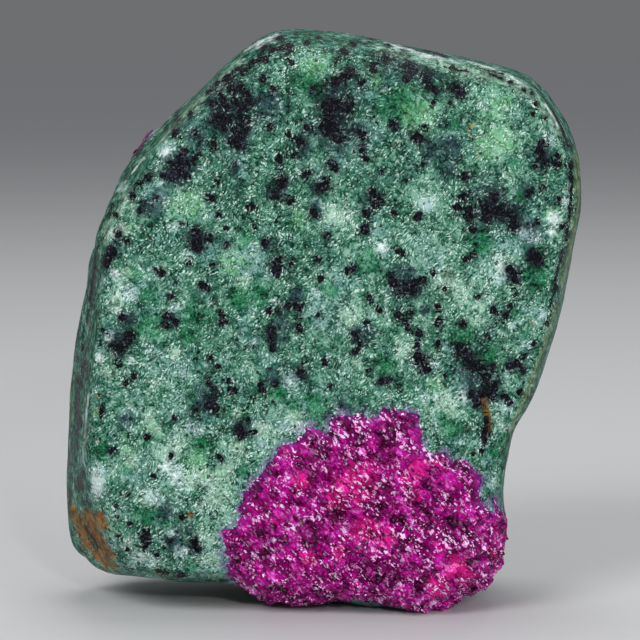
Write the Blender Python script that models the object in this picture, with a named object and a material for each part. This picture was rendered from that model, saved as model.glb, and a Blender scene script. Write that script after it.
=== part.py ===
"""Ruby in zoisite: a tumbled block of green zoisite rock with two ruby crystals grown into it.

The block stands on a small worn flat. Its broad face looks towards -Y, its height runs along +Z, and the origin is
the middle of its footprint. Shapes are worked out in millimetres and turned into metres as each mesh is made.
"""

import math

import bmesh
import bpy
import numpy as np
from mathutils import Vector, noise

# Driving dimensions, in millimetres
WIDTH = 71.4
HEIGHT = 80.0
FRONT_DEPTH = 19.0
BACK_DEPTH = 18.5
GAP = 0.3  # left between a crystal and the rock around it
CENTRING = (-0.05, 0.09, 0.0)  # brings the middle of the finished stone's box to the origin
METRES = 0.001

# The rock's outline as seen from the front, anticlockwise from its right shoulder: x across, z up
OUTLINE = (
    (36.2, 58.8), (35.0, 64.8), (31.4, 70.1), (26.7, 72.6), (18.8, 74.9), (10.6, 76.7), (3.0, 78.1), (-5.1, 78.3),
    (-10.4, 75.3), (-18.4, 69.0), (-25.1, 61.8), (-30.0, 53.2), (-33.3, 43.0), (-35.8, 32.2), (-37.7, 20.0),
    (-38.4, 11.0), (-33.6, 5.6), (-26.0, 4.0), (-14.2, 3.4), (-4.0, 1.6), (7.0, 0.2), (15.0, -0.6), (19.0, 1.6),
    (23.3, 4.3), (25.1, 9.8), (25.0, 16.8), (25.7, 23.0), (28.3, 27.7), (32.2, 34.8), (36.0, 44.3), (37.1, 52.8),
)
CORE = np.array((0.0, 0.0, HEIGHT / 2))  # every ray from here meets the surface once
OUTLINE_STEPS = 24  # spline steps between two outline points

# How squarely the section turns from its faces to its rim: 2 is an ellipse, and higher is boxier
FRONT_POWER_TOP = 3.6
FRONT_POWER_SIDES = 7.0
FRONT_POWER_FOOT = 5.0
BACK_POWER = 3.6
FACET_POWER = 28.0  # how crisply the worn facets below cut in

# Worn facets: a point on each and the way that it faces
FACETS = {
    "left_side": ((-34.8, 0.0, 32.0), (-0.965, -0.24, 0.10)),
    "lower_left_chamfer": ((-34.4, -6.0, 10.0), (-0.82, -0.50, -0.28)),
    "upper_left_side": ((-23.6, 3.0, 65.6), (-0.75, -0.17, 0.64)),
    "top": ((5.0, 0.0, 79.6), (0.06, -0.24, 0.97)),
    "top_right_ledge": ((23.0, -2.0, 75.8), (0.22, -0.06, 0.97)),
    "upper_right_corner": ((33.0, -1.0, 68.0), (0.86, -0.20, 0.47)),
    "right_side": ((36.2, 1.5, 52.2), (0.965, -0.17, -0.20)),
    "front_face": ((0.0, -17.2, 40.0), (0.02, -1.0, 0.03)),
    "back_upper": ((-4.0, 15.5, 58.0), (-0.22, 0.93, 0.30)),
    "back_right": ((16.0, 14.5, 44.0), (0.42, 0.90, 0.04)),
    "back_left": ((-24.0, 12.0, 34.0), (-0.62, 0.77, -0.06)),
    "back_lower": ((-2.0, 14.5, 17.0), (0.06, 0.90, -0.44)),
}

# The foot that the stone stands on: a low swelling of its underside, worn flat at the floor
FOOT_CENTRE = (1.0, 3.0)
FOOT_RADII = (16.0, 9.5)  # across, and front to back
FOOT_DROP = 4.2
FOOT_RISE = 10.0  # height at which the swelling has died away

# Gentle lumps that tumbling left: height and spacing
ROCK_LUMPS = ((0.65, 14.0), (0.34, 6.0))
RUBY_LUMPS = ((0.50, 7.0),)

# The front crystal's outline, from its top point anticlockwise; at its foot and right it runs out through the surface
FRONT_RUBY_OUTLINE = (
    (8.8, 28.9), (6.1, 28.0), (3.0, 26.8), (1.0, 26.2), (-1.5, 24.6), (-4.4, 23.8), (-6.8, 21.4), (-9.7, 18.9),
    (-11.1, 15.8), (-12.8, 12.2), (-12.6, 10.2), (-13.7, 8.2), (-12.2, 5.9), (-10.4, 4.4), (-9.2, 1.8), (-9.6, -2.5),
    (-6.4, -2.5), (-2.6, -2.5), (1.0, -2.5), (2.2, 1.0), (3.9, 2.4), (5.4, 2.7), (8.0, 1.9), (10.8, 1.3),
    (12.2, -2.5), (15.5, -2.5), (19.0, -2.5), (23.0, -2.5), (27.0, -2.5), (29.5, 3.0), (31.0, 8.0), (24.8, 12.0),
    (22.7, 14.4), (20.8, 17.2), (20.6, 19.6), (18.6, 21.4), (15.3, 22.6), (12.9, 24.6), (13.8, 26.0), (11.4, 27.7),
)
# How the crystal narrows as it goes into the rock: y, and the share of its outline left there
FRONT_RUBY_DEPTHS = ((-30.0, 1.0), (-10.0, 1.0), (-6.8, 0.97), (-4.4, 0.88), (-2.6, 0.70), (-1.6, 0.42))
FRONT_RUBY_ROOT = -0.6  # y of the crystal's innermost point
FRONT_RUBY_WANDER = (4.0, 9.0)  # how far the contact wanders in depth, and over what distance

SIDE_RUBY_CENTRE = (-24.6, 5.8, 61.0)
SIDE_RUBY_RADII = (5.0, 6.6, 4.6)  # along the edge, front to back, and into the rock
SIDE_RUBY_TILT = 58.0  # degrees from level to the edge that it sits on
SIDE_RUBY_SUBDIVISIONS = 3

# The rubies are harder than the rock, so tumbling leaves them proud, as a rough mass of flat cleavage faces
FRONT_RUBY_PROUD = 0.45
SIDE_RUBY_PROUD = 0.15
RUBY_CLEAVAGE = 3.6  # width of one cleavage face
RUBY_TILT = 0.42  # rise for each millimetre across a cleavage face
RUBY_STEP = 0.45  # how far neighbouring faces stand off each other

ROCK_GRID = (24, 13, 27)  # cells across, front to back and up
RUBY_GRID = (58, 30, 64)
SHARP_ANGLE = 40.0


def rim_table():
    """The outline as angles and radii about CORE: a closed Catmull-Rom spline through its points."""
    points = np.array(OUTLINE)
    before, after, later = (np.roll(points, shift, axis=0) for shift in (1, -1, -2))
    steps = np.arange(OUTLINE_STEPS)[:, None, None] / OUTLINE_STEPS
    spline = 0.5 * (
        2 * points
        + (after - before) * steps
        + (2 * before - 5 * points + 4 * after - later) * steps**2
        + (3 * points - before - 3 * after + later) * steps**3
    )
    spline = spline.reshape(-1, 2) - CORE[[0, 2]]
    angles = np.arctan2(spline[:, 1], spline[:, 0])
    order = np.argsort(angles)
    return angles[order], np.hypot(spline[order, 0], spline[order, 1])


def stone_points(directions):
    """Where rays from CORE along these directions leave the tumbled stone."""
    angles, radii = rim_table()
    bearing = np.arctan2(directions[:, 2], directions[:, 0])
    rim = np.interp(bearing, angles, radii, period=2 * math.pi)
    across = np.hypot(directions[:, 0], directions[:, 2]) / rim
    front = directions[:, 1] < 0
    upwards = np.sin(bearing)
    front_power = (
        FRONT_POWER_SIDES
        + (FRONT_POWER_TOP - FRONT_POWER_SIDES) * np.maximum(upwards, 0.0) ** 2
        + (FRONT_POWER_FOOT - FRONT_POWER_SIDES) * np.minimum(upwards, 0.0) ** 2
    )
    power = np.where(front, front_power, BACK_POWER)
    deep = np.abs(directions[:, 1]) / np.where(front, FRONT_DEPTH, BACK_DEPTH)
    inverse_reach = (across**power + deep**power) ** (FACET_POWER / power)
    for point, facing in FACETS.values():
        normal = np.array(facing) / np.linalg.norm(facing)
        distance = normal @ (np.array(point) - CORE)
        inverse_reach += np.maximum(directions @ normal / distance, 0.0) ** FACET_POWER
    return CORE + directions * (inverse_reach ** (-1 / FACET_POWER))[:, None]


def box_grid(counts):
    """The vertices and outward quads of a box from -1 to 1, cut into a grid of cells."""
    index, corners, quads = {}, [], []

    def vertex(place):
        if place not in index:
            index[place] = len(corners)
            corners.append([2 * place[axis] / counts[axis] - 1 for axis in range(3)])
        return index[place]

    for axis in range(3):
        first, second = (axis + 1) % 3, (axis + 2) % 3
        for side in (0, counts[axis]):
            for i in range(counts[first]):
                for j in range(counts[second]):
                    quad = []
                    for di, dj in ((0, 0), (1, 0), (1, 1), (0, 1)):
                        place = [0, 0, 0]
                        place[axis], place[first], place[second] = side, i + di, j + dj
                        quad.append(vertex(tuple(place)))
                    quads.append(quad if side else quad[::-1])
    return np.array(corners), quads


def lumps(point, waves):
    """The height of soft noise at a point, summed over waves of (height, spacing)."""
    return sum(height * noise.noise(Vector(point) / spacing) for height, spacing in waves)


def cleavage(point):
    """How far a ruby's surface stands out at a point: tilted flat faces, one for each cell of a Voronoi pattern."""
    place = Vector(point) / RUBY_CLEAVAGE
    seed = noise.voronoi(place)[1][0]
    lean = noise.cell_vector(seed * 7.3)
    across = (place - seed) * RUBY_CLEAVAGE
    return RUBY_TILT * across.dot(lean) + RUBY_STEP * noise.cell(seed * 3.1)


def foot_drop(surface):
    """How far each surface point is lowered to make the foot."""
    away = (surface[:, :2] - FOOT_CENTRE) / FOOT_RADII
    low = np.clip(1 - surface[:, 2] / FOOT_RISE, 0.0, 1.0)
    return FOOT_DROP * low * np.exp(-(away**2).sum(axis=1))


def stone_shell(counts, relief):
    """The closed surface of the stone on a box grid, moved outwards by relief and cut flat at the floor."""
    corners, quads = box_grid(counts)
    half_size = np.array((WIDTH / 2, (FRONT_DEPTH + BACK_DEPTH) / 2, HEIGHT / 2))
    directions = corners * half_size
    directions /= np.linalg.norm(directions, axis=1)[:, None]
    surface = stone_points(directions)
    surface += directions * np.array([relief(point) for point in surface])[:, None]
    surface[:, 2] = np.maximum(surface[:, 2] - foot_drop(surface), 0.0)
    return surface, quads


def object_from(name, points, faces):
    """A new object from points in millimetres, its normals turned outwards."""
    mesh = bpy.data.meshes.new(name)
    mesh.from_pydata([(Vector(point) + Vector(CENTRING)) * METRES for point in points], [], faces)
    shape = bmesh.new()
    shape.from_mesh(mesh)
    bmesh.ops.recalc_face_normals(shape, faces=shape.faces)
    shape.to_mesh(mesh)
    shape.free()
    made = bpy.data.objects.new(name, mesh)
    bpy.context.scene.collection.objects.link(made)
    return made


def inset(outline, distance):
    """The outline moved inwards by a distance along the bisector at each point."""
    points = np.array(outline, float)
    before, after = points - np.roll(points, 1, axis=0), np.roll(points, -1, axis=0) - points
    tangent = before / np.linalg.norm(before, axis=1)[:, None] + after / np.linalg.norm(after, axis=1)[:, None]
    tangent /= np.linalg.norm(tangent, axis=1)[:, None]
    inwards = np.column_stack((-tangent[:, 1], tangent[:, 0]))
    return points + inwards * distance


def front_ruby_space(name, clearance):
    """The room that the front crystal takes in the rock, less a clearance: its outline lofted back and narrowed."""
    outline = np.array(FRONT_RUBY_OUTLINE)
    middle = outline.mean(axis=0)
    points, faces = [], []
    wander, spacing = FRONT_RUBY_WANDER
    shifts = [wander * noise.noise(Vector((x, z, 0.0)) / spacing) for x, z in outline]
    for depth, share in FRONT_RUBY_DEPTHS:
        inside = depth > -FRONT_DEPTH
        ring = inset(middle + (outline - middle) * share, clearance)
        for (x, z), shift in zip(ring, shifts):
            points.append((x, depth + shift * share**2 - clearance if inside else depth, z))
    points.append((middle[0], FRONT_RUBY_ROOT - clearance, middle[1]))
    count = len(outline)
    faces.append(tuple(range(count)))
    for i in range(count):
        j = (i + 1) % count
        for near in range(0, len(points) - count - 1, count):
            far = near + count
            faces.append((near + i, near + j, far + i))
            faces.append((near + j, far + j, far + i))
        last = len(points) - count - 1
        faces.append((last + i, last + j, len(points) - 1))
    return as_guide(object_from(name, points, faces))


def side_ruby_space(name, clearance):
    """The room that the side crystal takes in the rock, less a clearance: a lumpy ellipsoid along the edge."""
    shape = bmesh.new()
    bmesh.ops.create_icosphere(shape, subdivisions=SIDE_RUBY_SUBDIVISIONS, radius=1.0)
    tilt = math.radians(SIDE_RUBY_TILT)
    along = Vector((math.cos(tilt), 0, math.sin(tilt)))
    inwards = Vector((math.sin(tilt), 0, -math.cos(tilt)))
    for vert in shape.verts:
        unit = vert.co.copy()
        wobble = 1 + 0.16 * noise.noise(unit * 1.7)
        length, width, height = (radius * wobble - clearance for radius in SIDE_RUBY_RADII)
        vert.co = Vector(SIDE_RUBY_CENTRE) + along * unit.x * length + inwards * unit.z * height
        vert.co.y += unit.y * width
    shape.verts.index_update()
    points = [vert.co.copy() for vert in shape.verts]
    faces = [[vert.index for vert in face.verts] for face in shape.faces]
    shape.free()
    return as_guide(object_from(name, points, faces))


def as_guide(helper):
    """Marks a helper as a cutter, which is no part of the stone."""
    helper.hide_render = True
    helper.display_type = "WIRE"
    return helper


def add_boolean(body, operation, other):
    """Adds an exact Boolean to a body."""
    modifier = body.modifiers.new(f"{operation.title()} {other.name}", "BOOLEAN")
    modifier.operation = operation
    modifier.object = other
    modifier.solver = "EXACT"


def set_material(body, name, colour, roughness):
    """Gives a body its own plain material."""
    material = bpy.data.materials.new(name)
    material.use_nodes = True
    shader = material.node_tree.nodes["Principled BSDF"]
    shader.inputs["Base Color"].default_value = (*colour, 1.0)
    shader.inputs["Roughness"].default_value = roughness
    shader.inputs["Metallic"].default_value = 0.0
    body.data.materials.append(material)


def build_matrix():
    """The zoisite rock, with a socket for each crystal."""
    points, quads = stone_shell(ROCK_GRID, lambda point: lumps(point, ROCK_LUMPS))
    rock = object_from("zoisite_matrix", points, quads)
    rock.data.shade_smooth()
    rock.data.set_sharp_from_angle(angle=math.radians(SHARP_ANGLE))
    add_boolean(rock, "DIFFERENCE", front_ruby_space("front_ruby_socket", 0.0))
    add_boolean(rock, "DIFFERENCE", side_ruby_space("side_ruby_socket", 0.0))
    set_material(rock, "green_zoisite", (0.10, 0.23, 0.16), 0.42)


def build_ruby(name, space, proud):
    """One ruby crystal: the stone's surface within a space, standing proud and broken into cleavage faces."""
    points, quads = stone_shell(
        RUBY_GRID, lambda point: proud + lumps(point, ROCK_LUMPS + RUBY_LUMPS) + cleavage(point)
    )
    ruby = object_from(name, points, quads)
    add_boolean(ruby, "INTERSECT", space)
    set_material(ruby, f"{name}_red", (0.30, 0.012, 0.17), 0.25)


def main():
    for old in list(bpy.data.objects):
        bpy.data.objects.remove(old)
    build_matrix()
    build_ruby("ruby_crystal_front", front_ruby_space("front_ruby_extent", GAP), FRONT_RUBY_PROUD)
    build_ruby("ruby_crystal_side", side_ruby_space("side_ruby_extent", GAP), SIDE_RUBY_PROUD)


main()
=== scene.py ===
"""Ruby in zoisite: the finish of a tumbled block of green zoisite rock and of the two ruby crystals grown into it.

The rock and the crystals are each one dense closed mesh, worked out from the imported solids: the rock's broad form is
the solids' own, smoothed as tumbling smooths it, and each crystal's cleavage faces are cut finer. Lengths are in
millimetres and become metres as each mesh is made. The broad face looks towards -Y, and the height runs along +Z.
"""

import logging
import math
from dataclasses import dataclass, field
from enum import Enum

import bpy
import numpy as np
from mathutils import Euler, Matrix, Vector, noise
from mathutils.bvhtree import BVHTree
from mathutils.kdtree import KDTree


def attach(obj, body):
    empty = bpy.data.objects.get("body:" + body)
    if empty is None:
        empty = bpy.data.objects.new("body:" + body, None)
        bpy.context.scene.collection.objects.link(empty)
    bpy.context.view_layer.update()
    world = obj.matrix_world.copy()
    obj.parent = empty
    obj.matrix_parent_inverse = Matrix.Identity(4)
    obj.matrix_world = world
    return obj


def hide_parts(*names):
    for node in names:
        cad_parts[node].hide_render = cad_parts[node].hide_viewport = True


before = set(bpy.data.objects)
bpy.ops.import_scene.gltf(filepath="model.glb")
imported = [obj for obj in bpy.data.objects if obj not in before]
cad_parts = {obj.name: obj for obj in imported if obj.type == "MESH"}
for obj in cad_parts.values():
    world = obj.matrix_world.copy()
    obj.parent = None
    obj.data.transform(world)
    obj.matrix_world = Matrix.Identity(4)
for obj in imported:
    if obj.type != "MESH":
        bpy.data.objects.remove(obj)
bpy.context.view_layer.update()

Array = np.ndarray
Colour = tuple[float, float, float]
Mark = tuple[float, float, float]  # across and down the front view's frame, and a radius, in that frame's units
METRES = 0.001
log = logging.getLogger("ruby_in_zoisite")


# ---------------------------------------------------------------------------------------------------------------
# Where things are seen from, and the marks of the front face
# ---------------------------------------------------------------------------------------------------------------


@dataclass(frozen=True)
class FrontView:
    """The level studio camera in front of the stone, and the square frame in which the front's marks are placed."""

    lens: float = 150.0
    sensor: float = 36.0
    distance: float = 368.0
    elevation: float = 6.0
    target: Colour = (-0.35, 0.0, 38.2)
    frame_side: float = 640.0

    def axes(self) -> tuple[Array, Array]:
        """The view's forward and upward directions."""
        tilt = math.radians(self.elevation)
        return np.array((0.0, math.cos(tilt), -math.sin(tilt))), np.array((0.0, math.sin(tilt), math.cos(tilt)))

    def eye(self) -> Array:
        """Where the camera stands."""
        return np.array(self.target) - self.axes()[0] * self.distance

    def ray(self, across: float, down: float) -> Array:
        """The direction from the camera through one place in its frame.

        Args:
            across: units from the frame's left side.
            down: units from its top.

        Returns:
            A unit direction.
        """
        forward, upward = self.axes()
        middle = self.frame_side / 2
        way = forward * self.focal() + upward * (middle - down)
        way[0] += across - middle
        return way / np.linalg.norm(way)

    def focal(self) -> float:
        """The focal length in units of the frame."""
        return self.frame_side * self.lens / self.sensor

    def unit(self) -> float:
        """How many millimetres one unit of the frame spans on the stone's front."""
        return (self.distance - STONE_HALF_DEPTH) / self.focal()

    def make_camera(self) -> None:
        """Sets up the scene's camera."""
        data = bpy.data.cameras.new("studio_camera")
        data.lens = self.lens
        data.sensor_width = self.sensor
        camera = bpy.data.objects.new("studio_camera", data)
        camera.location = Vector(self.eye()) * METRES
        camera.rotation_euler = (math.radians(90.0 - self.elevation), 0.0, 0.0)
        bpy.context.scene.collection.objects.link(camera)
        bpy.context.scene.camera = camera


STONE_HALF_DEPTH = 17.0
VIEW = FrontView()

# Black hornblende grains, from the top of the front to its foot
GRAINS: tuple[Mark, ...] = (
    (209, 92, 4), (217, 84, 4.5), (226, 79, 4), (221, 96, 5), (231, 91, 5), (240, 87, 4), (247, 95, 4), (213, 104, 4),
    (226, 106, 5), (236, 101, 4), (245, 108, 5), (251, 103, 3.5), (219, 115, 4), (229, 118, 5), (239, 116, 4),
    (248, 120, 4), (224, 127, 4), (235, 130, 5), (244, 132, 4.5), (231, 141, 4.5), (240, 147, 4), (172, 163, 4.5),
    (181, 158, 5), (188, 166, 4.5), (177, 172, 5), (186, 177, 4), (170, 178, 3.5), (194, 159, 3.5), (177, 118, 3.5),
    (166, 129, 3.5), (510, 82, 3), (524, 90, 3.5), (536, 104, 3), (546, 118, 2.5), (290, 47, 4), (265, 47, 3.5),
    (288, 50, 6), (280, 38, 5), (318, 38, 3), (307, 43, 4), (263, 59, 4), (292, 63, 3.5), (262, 78, 5), (244, 72, 5),
    (237, 69, 4), (273, 89, 4), (344, 51, 5), (336, 61, 3), (353, 44, 4), (371, 39, 4), (388, 45, 3), (352, 72, 5),
    (336, 81, 6), (346, 76, 6), (313, 90, 4), (325, 84, 4), (362, 82, 5), (331, 107, 10), (346, 107, 9),
    (329, 126, 12), (306, 127, 5), (300, 142, 6), (339, 139, 7), (362, 135, 6), (330, 162, 4.5), (335, 169, 4.5),
    (323, 187, 7), (325, 178, 3), (306, 174, 6), (279, 159, 5), (270, 127, 5), (289, 135, 4), (293, 156, 3.5),
    (281, 182, 7), (275, 195, 6), (291, 202, 4.5), (251, 207, 5), (313, 212, 5), (366, 159, 4), (362, 151, 4),
    (373, 192, 5), (381, 202, 5), (366, 213, 6), (381, 172, 3), (406, 181, 3), (394, 126, 5), (417, 137, 8),
    (373, 67, 6), (386, 59, 5), (408, 67, 6), (413, 70, 6), (406, 79, 5), (427, 80, 6), (435, 91, 4.5), (458, 90, 8),
    (433, 103, 3), (450, 103, 3), (452, 67, 3), (532, 93, 3), (533, 114, 3), (424, 126, 3), (423, 164, 3),
    (464, 176, 5), (464, 196, 5), (456, 207, 4.5), (469, 211, 6), (493, 196, 7), (486, 210, 8), (498, 213, 7),
    (511, 215, 5), (480, 202, 4), (529, 193, 5), (542, 187, 4), (542, 142, 4), (540, 151, 6), (545, 162, 4.5),
    (535, 167, 3), (557, 164, 5), (556, 155, 3), (571, 165, 4), (571, 178, 4), (559, 199, 3), (571, 207, 3),
    (228, 76, 5), (233, 91, 5), (222, 100, 5), (246, 97, 5), (240, 108, 5), (216, 119, 6), (228, 121, 5),
    (243, 125, 5), (239, 138, 6), (239, 148, 6), (214, 145, 4), (199, 154, 3), (195, 133, 4), (175, 133, 5),
    (166, 126, 4), (190, 114, 4), (179, 120, 3), (184, 152, 5), (177, 170, 11), (148, 177, 6), (162, 175, 4),
    (139, 184, 3.5), (132, 196, 5), (116, 215, 4), (140, 211, 5), (156, 197, 3), (217, 182, 3), (210, 197, 6),
    (219, 215, 4), (119, 234, 5), (127, 242, 3.5), (113, 254, 5), (106, 263, 5), (96, 256, 3.5), (94, 268, 3.5),
    (92, 284, 3), (90, 300, 3), (103, 330, 3), (83, 348, 3), (123, 317, 5), (129, 337, 7), (119, 348, 8),
    (120, 366, 3.5), (134, 376, 4), (126, 383, 4), (196, 231, 6), (196, 241, 8), (197, 248, 5), (210, 238, 5),
    (226, 228, 3), (226, 245, 4), (218, 215, 3.5), (182, 224, 3), (156, 269, 3), (162, 274, 4), (171, 297, 4),
    (166, 315, 4), (176, 322, 5), (165, 325, 5), (202, 285, 5), (208, 289, 4), (213, 265, 3), (189, 264, 3),
    (221, 312, 3.5), (222, 322, 5), (210, 358, 4), (210, 386, 3.5), (234, 391, 4), (218, 367, 3), (208, 379, 3),
    (229, 380, 3), (217, 391, 3), (249, 207, 4.5), (254, 227, 3), (265, 243, 6), (279, 260, 5), (276, 271, 7),
    (290, 265, 3), (294, 260, 3), (315, 214, 5), (327, 236, 5), (318, 260, 3.5), (320, 279, 4), (365, 229, 6),
    (376, 204, 6), (394, 213, 4), (418, 216, 5), (396, 250, 3.5), (403, 254, 3.5), (348, 271, 5), (353, 269, 4),
    (390, 278, 3), (394, 284, 7), (409, 289, 9), (415, 283, 6), (399, 297, 3.5), (288, 306, 5), (299, 307, 5),
    (299, 328, 5.5), (269, 311, 4), (278, 313, 3.5), (318, 315, 3), (379, 310, 5), (369, 298, 4), (366, 323, 3.5),
    (354, 334, 4), (360, 344, 4), (355, 352, 5), (397, 315, 4.5), (411, 313, 4), (405, 322, 4), (408, 328, 4),
    (419, 333, 5), (418, 357, 7), (421, 364, 6), (325, 362, 4.5), (300, 372, 5), (369, 370, 3.5), (382, 381, 5),
    (388, 380, 5), (272, 330, 4), (272, 338, 5), (272, 348, 4.5), (261, 384, 3.5), (262, 390, 5), (275, 384, 4),
    (225, 322, 4), (330, 386, 3.5), (457, 206, 5), (469, 219, 5), (472, 230, 5), (488, 220, 5), (500, 211, 6),
    (515, 225, 7), (538, 222, 3), (563, 227, 4), (568, 234, 3), (534, 260, 8), (532, 252, 4), (539, 261, 6),
    (466, 259, 4), (473, 255, 4), (433, 273, 3.5), (424, 280, 4), (445, 289, 3.5), (511, 270, 7), (515, 279, 6),
    (478, 297, 3), (515, 294, 3), (511, 307, 4), (493, 310, 4), (505, 316, 5), (556, 289, 3), (547, 324, 3),
    (438, 307, 4.5), (438, 322, 5), (463, 324, 5), (487, 336, 5), (438, 343, 4), (461, 349, 8), (465, 354, 6),
    (417, 346, 4), (427, 370, 5), (445, 376, 3), (473, 366, 8), (480, 367, 6), (486, 376, 7), (492, 386, 7),
    (493, 367, 4), (492, 396, 6), (472, 394, 6), (483, 393, 5), (517, 364, 6), (524, 372, 4), (510, 366, 5),
    (525, 356, 3.5), (520, 391, 3), (534, 344, 3), (478, 403, 6), (473, 396, 6), (504, 397, 5), (510, 403, 4),
    (519, 393, 3), (485, 434, 6), (485, 441, 4), (473, 454, 3), (482, 451, 3), (174, 418, 4), (196, 411, 3),
    (216, 409, 5), (210, 406, 6), (240, 427, 4), (242, 436, 5), (254, 432, 3.5), (248, 420, 3), (220, 458, 4),
    (230, 391, 4), (112, 451, 5), (147, 437, 4), (153, 476, 3.5), (171, 456, 3.5), (127, 494, 3), (116, 506, 3.5),
    (117, 517, 3), (130, 524, 3.5), (118, 536, 3), (145, 535, 4.5), (146, 542, 4.5), (182, 517, 4), (194, 541, 6),
    (198, 549, 5), (169, 541, 3), (157, 555, 3.5), (159, 571, 4.5), (166, 573, 4), (180, 575, 5), (127, 550, 3.5),
    (76, 405, 3), (78, 420, 3), (77, 445, 3), (70, 462, 3.5), (80, 484, 4), (79, 379, 4),
)

# Cavities in the front ruby, sunk into its relief and darkened with painted shade, and the hot spots where light comes
# back through its clearer crystals
SHADED_HOLLOWS: tuple[Mark, ...] = (
    (255, 488, 7), (253, 497, 6), (262, 553, 9), (346, 427, 6), (359, 436, 5), (404, 518, 8), (395, 521, 7),
    (305, 547, 6), (331, 521, 7), (383, 443, 6), (386, 404, 6), (380, 582, 8), (399, 582, 8), (456, 461, 9),
    (429, 484, 8), (428, 510, 8), (475, 563, 9), (420, 592, 9), (281, 592, 10), (456, 522, 8), (323, 500, 6),
)
GLOWS: tuple[Mark, ...] = (
    (353, 482, 24), (340, 500, 14), (366, 470, 12), (409, 485, 12), (419, 472, 12), (415, 496, 8), (361, 531, 12),
    (383, 535, 13), (372, 528, 9), (459, 570, 18), (438, 587, 14), (494, 551, 9), (438, 462, 9), (339, 553, 8),
    (283, 446, 8), (276, 520, 8), (310, 560, 10), (300, 480, 9), (440, 545, 10),
)


class Tone(Enum):
    """The colours that lie in patches over the green rock, some also laid along its edges as painted sheen and painted
    shade: a linear colour, and how strongly a patch takes it.
    """

    SLATE = ((0.020, 0.042, 0.054), 0.86)
    GREEN = ((0.008, 0.130, 0.045), 0.66)
    LEAF = ((0.110, 0.300, 0.130), 0.60)
    CREAM = ((0.230, 0.370, 0.270), 0.58)
    FROST = ((0.240, 0.350, 0.380), 0.60)
    # Pale patches; on the front most are laid along the edges as painted sheen.
    CHALK = ((0.480, 0.560, 0.540), 0.85)
    FRINGE = ((0.150, 0.120, 0.250), 0.72)
    OCHRE = ((0.210, 0.085, 0.008), 0.97)
    GOLD = ((0.430, 0.280, 0.030), 0.90)
    OLIVE = ((0.110, 0.165, 0.070), 0.90)
    FELT = ((0.150, 0.280, 0.220), 0.0)

    @property
    def colour(self) -> Colour:
        """The tone's linear colour."""
        return self.value[0]

    @property
    def strength(self) -> float:
        """How much of the rock's own colour the middle of a patch covers."""
        return self.value[1]

    @property
    def attribute(self) -> str:
        """The name of the vertex attribute that holds the tone's patches."""
        return self.name.lower()


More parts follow.
